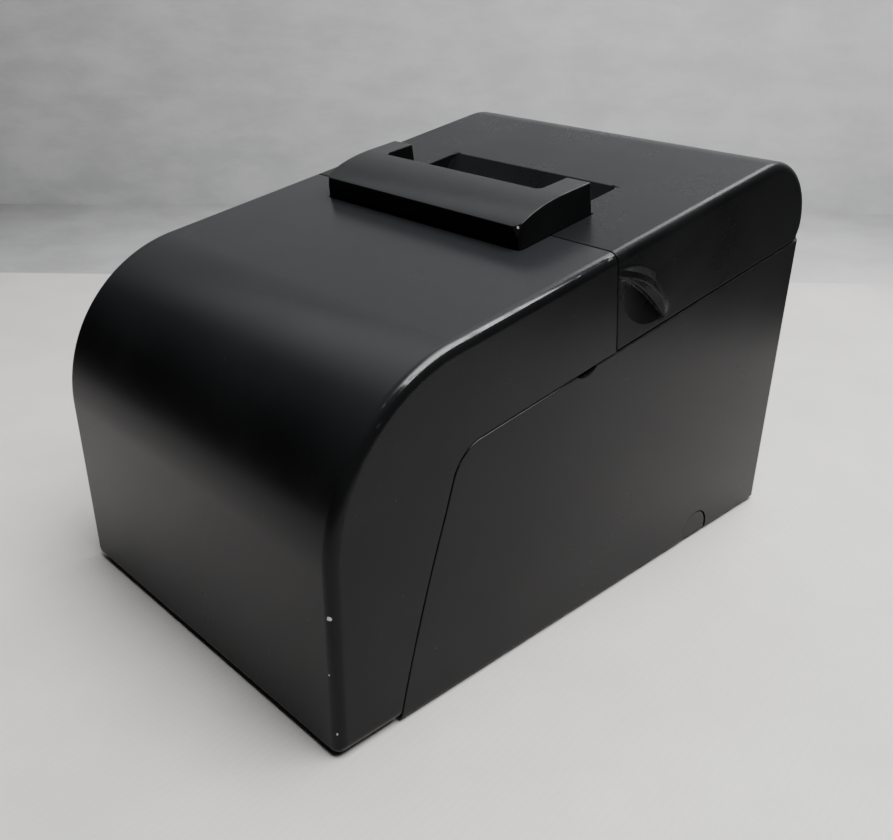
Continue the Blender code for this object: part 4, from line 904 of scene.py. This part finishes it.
def make_rear_cover():
    """The rear cover: rounded skin, paper pocket, finger grips and hinge knuckles."""
    start = seam_height(0) + REAR_COVER_GAP
    far_y = REAR_Y + OUTSIDE
    region = [
        (split_y(start, 1), seam_height(split_y(start, 1)) + REAR_COVER_GAP),
        (far_y, seam_height(far_y) + REAR_COVER_GAP),
        (far_y, FAR * 2),
        (split_y(FAR * 2, 1), FAR * 2),
    ]
    cover = prism("rear_cover_shell", region, "X", -FAR, FAR)
    keep(cover, SKIN, spare=True)
    cut(cover, HOLLOW, spare=True)

    add_pocket(cover)
    for side, sign in SIDES:
        add_grip(cover, side, sign)

    for side, sign in SIDES:
        x = sign * KNUCKLE_X
        cut(cover, box(
            f"hinge_room_{side}",
            (x - LID_KNUCKLE_GAP, ROOM_FRONT_Y, 118 * MM), (x + LID_KNUCKLE_GAP, 124 * MM, 125 * MM)
        ))
        for start_x in (x - LID_KNUCKLE_GAP - LID_KNUCKLE, x + LID_KNUCKLE_GAP):
            join(cover, cylinder(
                f"knuckle_{side}", (start_x, REAR_HINGE.y, REAR_HINGE.z), "X", KNUCKLE_RADIUS,
                LID_KNUCKLE, sides=32
            ))
        cut(cover, cylinder(
            f"pin_hole_{side}", (x - 12 * MM, REAR_HINGE.y, REAR_HINGE.z), "X", REAR_PIN_HOLE,
            24 * MM, sides=24
        ))
    stand_for(cover, "rear_cover", LID_BLACK)


def hood_arms():
    """Plan of the room the rear cover leaves for the hood's bar and arms."""
    outer = HOOD_HIGH.x + HOOD_CLEARANCE
    inner = HOOD_ARM_INNER - HOOD_CLEARANCE
    bar = HOOD_BAR_REAR_Y + HOOD_CLEARANCE
    rear = HOOD_HIGH.y + HOOD_CLEARANCE
    return [
        (-outer, -OUTSIDE), (outer, -OUTSIDE), (outer, rear), (inner, rear), (inner, bar),
        (-inner, bar), (-inner, rear), (-outer, rear),
    ]


def pocket_height(y):
    """Height of the pocket's sloping back."""
    return top_height(POCKET_REAR_Y) - POCKET_FALL * (POCKET_REAR_Y - y)


def add_pocket(cover):
    """The paper exit pocket: side walls and a sloping back, open at the front and below."""
    rear = POCKET_REAR_Y
    lip = pocket_height(POCKET_LIP_Y)
    front = HOOD_HIGH.y + 0.9 * MM
    behind = rear + POCKET_WALL * 1.35
    sunk = 1 * MM
    liner = [
        (POCKET_LIP_Y, lip - POCKET_LIP_THICKNESS),
        (behind, top_height(rear) - 1.2 * sunk),
        (behind, top_height(behind) - sunk),
        (front, top_height(front) - sunk),
        (front, pocket_height(front) + sunk),
        (POCKET_LIP_Y, lip + sunk),
    ]
    wide = POCKET_HALF_WIDTH + POCKET_WALL
    join(cover, prism("pocket_liner", liner, "X", -wide, wide))
    low = lip - OUTSIDE
    ahead = POCKET_LIP_Y - 1 * MM
    side_view = [
        (-OUTSIDE, low), (ahead, low), (ahead, pocket_height(ahead)), (rear, top_height(rear)),
        (rear + sunk, FAR * 2), (-OUTSIDE, FAR * 2),
    ]
    space = prism("pocket_space", side_view, "X", -FAR, FAR)
    plan = rounded([
        (-POCKET_HALF_WIDTH, -OUTSIDE * 1.1, 0), (POCKET_HALF_WIDTH, -OUTSIDE * 1.1, 0),
        (POCKET_HALF_WIDTH, rear, POCKET_CORNER), (-POCKET_HALF_WIDTH, rear, POCKET_CORNER),
    ], 10)
    keep(space, prism("pocket_plan", plan, "Z", -OUTSIDE, FAR * 3))
    cut(cover, space)
    cut(cover, prism("hood_arms", hood_arms(), "Z", *ABOVE_BASE))


def swell(values, t):
    """A smooth curve through evenly spaced values, read at t from 0 to 1."""
    place = t * (len(values) - 1)
    index = min(int(place), len(values) - 2)
    u = place - index
    last = len(values) - 1
    a, b, c, d = (values[min(max(index + step, 0), last)] for step in (-1, 0, 1, 2))
    return b + u / 2 * (c - a + u * (2 * a - 5 * b + 4 * c - d + u * (3 * (b - c) + d - a)))


def grip_arc(line, t, growth=0.0):
    """A point at t from 0 to 1 along one of the grip's arcs, moved out by growth."""
    centre, radius, start, end = line
    angle = start + (end - start) * t
    return centre + Vector((math.cos(angle), math.sin(angle))) * (radius + growth)


def scoop(name, sign, sunk):
    """The round body that fills a scoop and stands proud of the wall, sunk into it."""
    rings = []
    for share in SCOOP_RINGS:
        x = sign * (HALF_WIDTH - sunk - SCOOP_DEPTH * (1 - share ** 2))
        circle = arc(SCOOP_CENTRE, SCOOP_RADIUS * share, 0, math.tau, 96)[:-1]
        rings.append([(x, y, z) for y, z in circle])
    return loft(name, rings)


def grip_lip(name, sign):
    """The crescent lip, from its tip near the split to its tip above the seam."""
    rings = []
    for i in range(GRIP_STEPS + 1):
        t = i / GRIP_STEPS
        proud = sign * min(HALF_WIDTH + GRIP_REACH * swell(GRIP_SWELL, t), LID_HIGH.x)
        root = sign * (HALF_WIDTH - GRIP_ROOT)
        wall = sign * HALF_WIDTH
        outer = grip_arc(GRIP_OUTER, t)
        upper = grip_arc(GRIP_RIM, t, swell(GRIP_BAND, t) * MM)
        lower = grip_arc(GRIP_RIM, t)
        under = grip_arc(GRIP_RIM, t, -swell(GRIP_UNDERCUT, t) * MM)
        rings.append([
            (root, *outer), (wall, *outer), (proud, *upper), (proud, *lower), (wall, *under),
            (root, *under),
        ])
    return loft(name, rings)


def add_grip(cover, side, sign):
    """A shallow scoop for a fingertip under a raised crescent lip."""
    over = REAR_COVER_GAP + SCOOP_OVER_SEAM
    reach = [
        (SCOOP_FRONT_Y, seam_height(SCOOP_FRONT_Y) + over),
        (SCOOP_REAR_Y, seam_height(SCOOP_REAR_Y) + over),
        (SCOOP_REAR_Y, SCOOP_TOP),
        (SCOOP_FRONT_Y, SCOOP_TOP),
    ]
    back = scoop(f"scoop_back_{side}", sign, SCOOP_BACK)
    keep(back, prism(f"scoop_reach_{side}", reach, "X", -FAR, FAR))
    join(cover, back)

    steps = 36
    below = [
        tuple(grip_arc(GRIP_RIM, i / steps, -(swell(GRIP_UNDERCUT, i / steps) + 0.4) * MM))
        for i in range(steps + 1)
    ]
    below += [
        (SCOOP_REAR_Y, below[-1][1]), (SCOOP_REAR_Y, 100 * MM), (-5 * MM, 100 * MM),
        (-5 * MM, below[0][1]),
    ]
    hole = scoop(f"scoop_{side}", sign, 0.0)
    keep(hole, prism(f"scoop_under_{side}", below, "X", -FAR, FAR))
    cut(cover, hole)
    join(cover, grip_lip(f"grip_lip_{side}", sign))


def base_weight(start, end):
    """Rounds the upright rear corners and the long lower edges."""
    rear = all(abs(p.y - BASE_REAR_Y) < 1e-6 for p in (start, end))
    low = all(abs(p.z - BODY_BOTTOM) < 1e-6 for p in (start, end))
    if rim(start, end) and rear:
        return 1.0
    if low and (rim(start, end) or rear):
        return 0.3
    return 0.0


def arch_outline():
    """Outline of a cable knock-out's hole, from below the base up to its round top."""
    centre = (ARCH_Y, ARCH_TOP - ARCH_HALF_WIDTH)
    half = ARCH_HALF_WIDTH + ARCH_RING
    return [(ARCH_Y + half, -OUTSIDE)] + arc(centre, half, 0, math.pi, 32) + [(ARCH_Y - half, -OUTSIDE)]


ROUND_CONTROLS = (
    ("feed_button", 5.5 * MM), ("power_lamp", 1.9 * MM), ("error_lamp", 1.9 * MM),
    ("paper_out_lamp", 1.9 * MM),
)


def round_openings():
    """Centre and radius, seen from the side, of the round openings in the side walls."""
    rims = [
        (ARCH_Y, ARCH_TOP - ARCH_HALF_WIDTH, ARCH_HALF_WIDTH + ARCH_RING),
        (PRY_NOTCH_Y, seam_height(PRY_NOTCH_Y) + PRY_NOTCH_RISE, PRY_NOTCH_RADIUS),
    ]
    for node, radius in ROUND_CONTROLS:
        middle = sum(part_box(node), Vector()) / 2
        rims.append((middle.y, middle.z, radius))
    return rims


ROUND_OPENINGS = round_openings()


def by_round_opening(point):
    """True at the rims of the round openings, which are left crisp."""
    return abs(point.x) > HALF_WIDTH - WALL - 1 * MM and any(
        math.hypot(point.y - y, point.z - z) < radius + 0.3 * MM for y, z, radius in ROUND_OPENINGS
    )


def make_base():
    """The base housing: a tub with openings for controls, cables and sockets, and the hinges."""
    base = prism(
        "base_shell", seam_outline(0, BASE_REAR_Y, BODY_BOTTOM), "X", -HALF_WIDTH, HALF_WIDTH
    )
    bevel_edges(base, EDGE_RADIUS, 8, base_weight)
    inner = HALF_WIDTH - WALL
    floor = BODY_BOTTOM + WALL
    cut(base, box("room", (-inner, -150 * MM, floor), (inner, BASE_REAR_Y - WALL, 200 * MM)))
    join(base, box(
        "tongue",
        (-TONGUE_X, TONGUE_Y[0], BODY_BOTTOM), (TONGUE_X, TONGUE_Y[1], floor + 0.4 * MM)
    ))
    for side, sign in SIDES:
        low, high = sorted(sign * x for x in ARM_X)
        arm = rounded([
            (FRONT_HINGE.y - ARM_REACH, FRONT_HINGE.z - ARM_REACH, ARM_TIP_RADIUS),
            (ARM_FOOT_FRONT_Y, FRONT_HINGE.z - ARM_REACH, 0),
            (ARM_FOOT_FRONT_Y, BODY_BOTTOM + 1 * MM, 0),
            (ARM_FOOT_REAR_Y, BODY_BOTTOM + 1 * MM, 0),
            (ARM_BACK_Y, FRONT_HINGE.z + ARM_REACH, 0),
            (FRONT_HINGE.y - ARM_REACH, FRONT_HINGE.z + ARM_REACH, ARM_TIP_RADIUS),
        ])
        join(base, prism(f"arm_{side}", arm, "X", low, high))
        cut(base, cylinder(
            f"arm_hole_{side}", (low - 2 * MM, FRONT_HINGE.y, FRONT_HINGE.z), "X", FRONT_PIN_HOLE,
            high - low + 4 * MM, sides=32
        ))
        wall = min(sign * x for x in THROUGH_WALL)
        cut(base, prism(f"arch_{side}", arch_outline(), "X", wall, wall + 10 * MM))
        cut(base, cylinder(
            f"notch_{side}", (wall, PRY_NOTCH_Y, seam_height(PRY_NOTCH_Y) + PRY_NOTCH_RISE), "X",
            PRY_NOTCH_RADIUS, 10 * MM, sides=72
        ))

    tray_low, tray_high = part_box("connector_tray")
    cut(base, box(
        "bay_opening",
        (tray_low.x + BAY_RIM, 100 * MM, tray_low.z + BAY_RIM),
        (tray_high.x - BAY_RIM, 130 * MM, tray_high.z - BAY_RIM)
    ))
    label_low, label_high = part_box("rating_label")
    cut(base, box(
        "label_panel",
        (label_low.x - LABEL_MARGIN, label_low.y - LABEL_RECESS, label_low.z - LABEL_MARGIN),
        (label_high.x + LABEL_MARGIN, 130 * MM, label_high.z + LABEL_MARGIN)
    ))
    cut_control_openings(base)

    cut(base, box(
        "lid_relief",
        (-FAR, LID_RELIEF_Y, LID_RELIEF_Z[0]), (FAR, BASE_REAR_Y + OUTSIDE, LID_RELIEF_Z[1])
    ))
    for side, sign in SIDES:
        x = sign * KNUCKLE_X
        for start_x in (x - 9.4 * MM, x + 3.6 * MM):
            cut(base, box(
                f"hinge_room_{side}",
                (start_x, ROOM_FRONT_Y, 119.4 * MM), (start_x + 5.8 * MM, 126 * MM, 126 * MM)
            ))
        join(base, box(
            f"web_{side}", (x - WEB_HALF_WIDTH, WEB_Y[0], WEB_FOOT_Z),
            (x + WEB_HALF_WIDTH, WEB_Y[1], REAR_HINGE.z)
        ))
        join(base, cylinder(
            f"knuckle_{side}", (x - BASE_KNUCKLE / 2, REAR_HINGE.y, REAR_HINGE.z), "X",
            KNUCKLE_RADIUS, BASE_KNUCKLE, sides=32
        ))
        cut(base, cylinder(
            f"pin_hole_{side}", (x - 8 * MM, REAR_HINGE.y, REAR_HINGE.z), "X", REAR_PIN_HOLE, 16 * MM,
            sides=24
        ))
    stand_for(base, "base_housing", MATERIALS["case_black"], plain=by_round_opening)


def cut_control_openings(base):
    """Openings in the left wall for the power switch, the feed button and the lamps."""
    left = -THROUGH_WALL[1]
    low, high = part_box("power_switch_bezel")
    cut(base, box(
        "switch_opening",
        (left, low.y - CONTROL_GAP, low.z - CONTROL_GAP),
        (-70 * MM, high.y + CONTROL_GAP, high.z + CONTROL_GAP)
    ))
    for node, radius in ROUND_CONTROLS:
        low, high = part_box(node)
        middle = (low + high) / 2
        cut(base, cylinder(
            f"{node}_opening", (left, middle.y, middle.z), "X", radius, 15 * MM, sides=48
        ))


def make_hood():
    """Front leaning out, crowned top, and two arms square to the sloping top."""
    front = Vector((HOOD_LOW.y, HOOD_FRONT_TOP))
    foot = HOOD_FRONT_Y - HOOD_FRONT_LEAN * (HOOD_LOW.z - HOOD_FOOT_Z)
    steps = 20
    side = [(foot, HOOD_LOW.z)]
    for i in range(steps + 1):
        t = i / steps
        point = front * (1 - t) ** 2 + HOOD_CROWN * 2 * t * (1 - t) + HOOD_LEVEL * t ** 2
        side.append(tuple(point))
    side += [
        (HOOD_BACK_Y, HOOD_HIGH.z), (HOOD_HIGH.y, top_height(HOOD_HIGH.y)),
        (HOOD_HIGH.y, HOOD_LOW.z),
    ]
    outer = HOOD_HIGH.x
    plan = rounded([
        (-outer, front.x, HOOD_CORNER), (outer, front.x, HOOD_CORNER), (outer, HOOD_HIGH.y, 0),
        (HOOD_ARM_INNER, HOOD_HIGH.y, 0), (HOOD_ARM_INNER, HOOD_BAR_REAR_Y, HOOD_CORNER),
        (-HOOD_ARM_INNER, HOOD_BAR_REAR_Y, HOOD_CORNER), (-HOOD_ARM_INNER, HOOD_HIGH.y, 0),
        (-outer, HOOD_HIGH.y, 0),
    ], 10)
    hood = prism("cutter_hood_shell", plan, "Z", HOOD_LOW.z, HOOD_HIGH.z + OUTSIDE)
    keep(hood, prism("hood_side", side, "X", -FAR, FAR))
    cut(hood, box("hood_inside", *HOOD_ROOM))
    stand_for(hood, "cutter_hood", HOOD_BLACK, HOOD_FILLET)


make_front_cover()
make_rear_cover()
make_base()
make_hood()
bpy.data.objects.remove(SKIN)
bpy.data.objects.remove(HOLLOW)


# ---------------------------------------------------------------- carried-over CAD nodes
def dress(node):
    """Gives a CAD node its slot's material, and rounds its edges with modifiers."""
    piece = NODES[node]
    wear(piece, MATERIALS[SLOTS[node]])
    if "custom_normal" in piece.data.attributes:
        piece.data.attributes.remove(piece.data.attributes["custom_normal"])
    piece.data.shade_smooth()
    weld = piece.modifiers.new("weld", "WELD")
    weld.merge_threshold = 0.005 * MM
    flat = piece.modifiers.new("flat", "DECIMATE")
    flat.decimate_type = "DISSOLVE"
    flat.angle_limit = math.radians(0.5)
    edge = piece.modifiers.new("edge", "BEVEL")
    edge.limit_method = "ANGLE"
    edge.angle_limit = math.radians(38)
    edge.width = 0.18 * MM
    edge.segments = 2
    edge.use_clamp_overlap = False
    normals = piece.modifiers.new("normals", "WEIGHTED_NORMAL")
    normals.keep_sharp = False


STOOD_FOR = {"front_cover", "rear_cover", "base_housing", "cutter_hood"}
for node in NODES:
    if node not in STOOD_FOR:
        dress(node)


# ---------------------------------------------------------------- stage, light and camera
BACKDROP_DISTANCE = 0.56
SKY_DIRECTION = Vector((-0.66, 0.42, 0.62))
SKY_RANGE = (0.74, 0.97, 0.012, 2.2)
LIGHT_DISTANCE = 1.0
KEY_DIRECTION = Vector((0.3, 0.1, 0.95))
KEY_SIZE = 0.7
KEY_POWER = 20
RIM_DIRECTION = Vector((-0.05, 0.65, 0.75))
RIM_SIZE = 0.3
RIM_POWER = 5


def make_stage():
    """The table and the paper backdrop, square to the camera's view."""
    floor = box("floor", (-2, -2, -0.02), (2, 2, 0))
    wear(floor, woven_floor())
    backdrop = box("backdrop", (-0.9, 0, -0.01), (0.9, 0.02, 0.7))
    backdrop.rotation_euler = (0, 0, CAMERA_AZIMUTH)
    backdrop.location = VIEW_AWAY * BACKDROP_DISTANCE
    wear(backdrop, backdrop_cloth())


def add_light(name, place, target, size, power):
    """A square area light that faces a target."""
    light = bpy.data.lights.new(name, "AREA")
    light.size = size
    light.energy = power
    made = bpy.data.objects.new(name, light)
    made.location = place
    made.rotation_euler = (Vector(target) - Vector(place)).to_track_quat("-Z", "Y").to_euler()
    bpy.context.scene.collection.objects.link(made)


def make_light():
    """A panel overhead, a small one behind, and a room that is bright only behind the printer."""
    world = bpy.data.worlds.new("studio")
    world.use_nodes = True
    nodes = world.node_tree.nodes
    links = world.node_tree.links
    toward = nodes.new("ShaderNodeVectorMath")
    toward.operation = "DOT_PRODUCT"
    links.new(nodes.new("ShaderNodeTexCoord").outputs["Generated"], toward.inputs[0])
    toward.inputs[1].default_value = SKY_DIRECTION.normalized()
    glow = nodes.new("ShaderNodeMapRange")
    glow.interpolation_type = "SMOOTHSTEP"
    links.new(toward.outputs["Value"], glow.inputs["Value"])
    for name, value in zip(("From Min", "From Max", "To Min", "To Max"), SKY_RANGE):
        glow.inputs[name].default_value = value
    background = nodes["Background"]
    background.inputs["Color"].default_value = (0.97, 0.985, 1, 1)
    links.new(glow.outputs["Result"], background.inputs["Strength"])
    bpy.context.scene.world = world
    middle = (0, 0, 50 * MM)
    add_light("key", KEY_DIRECTION.normalized() * LIGHT_DISTANCE, middle, KEY_SIZE, KEY_POWER)
    add_light("rim", RIM_DIRECTION.normalized() * LIGHT_DISTANCE, middle, RIM_SIZE, RIM_POWER)


def make_camera():
    """The camera solved from the printer's corners in the photo."""
    camera = bpy.data.cameras.new("camera")
    camera.lens = CAMERA_LENS
    camera.shift_x, camera.shift_y = CAMERA_SHIFT
    camera.clip_start = 10 * MM
    made = bpy.data.objects.new("camera", camera)
    made.matrix_world = (
        Matrix.Translation(CAMERA_PLACE)
        @ Matrix.Rotation(CAMERA_AZIMUTH, 4, "Z")
        @ Matrix.Rotation(math.pi / 2 - CAMERA_ELEVATION, 4, "X")
        @ Matrix.Rotation(CAMERA_ROLL, 4, "Z")
    )
    bpy.context.scene.collection.objects.link(made)
    bpy.context.scene.camera = made


make_stage()
make_light()
make_camera()
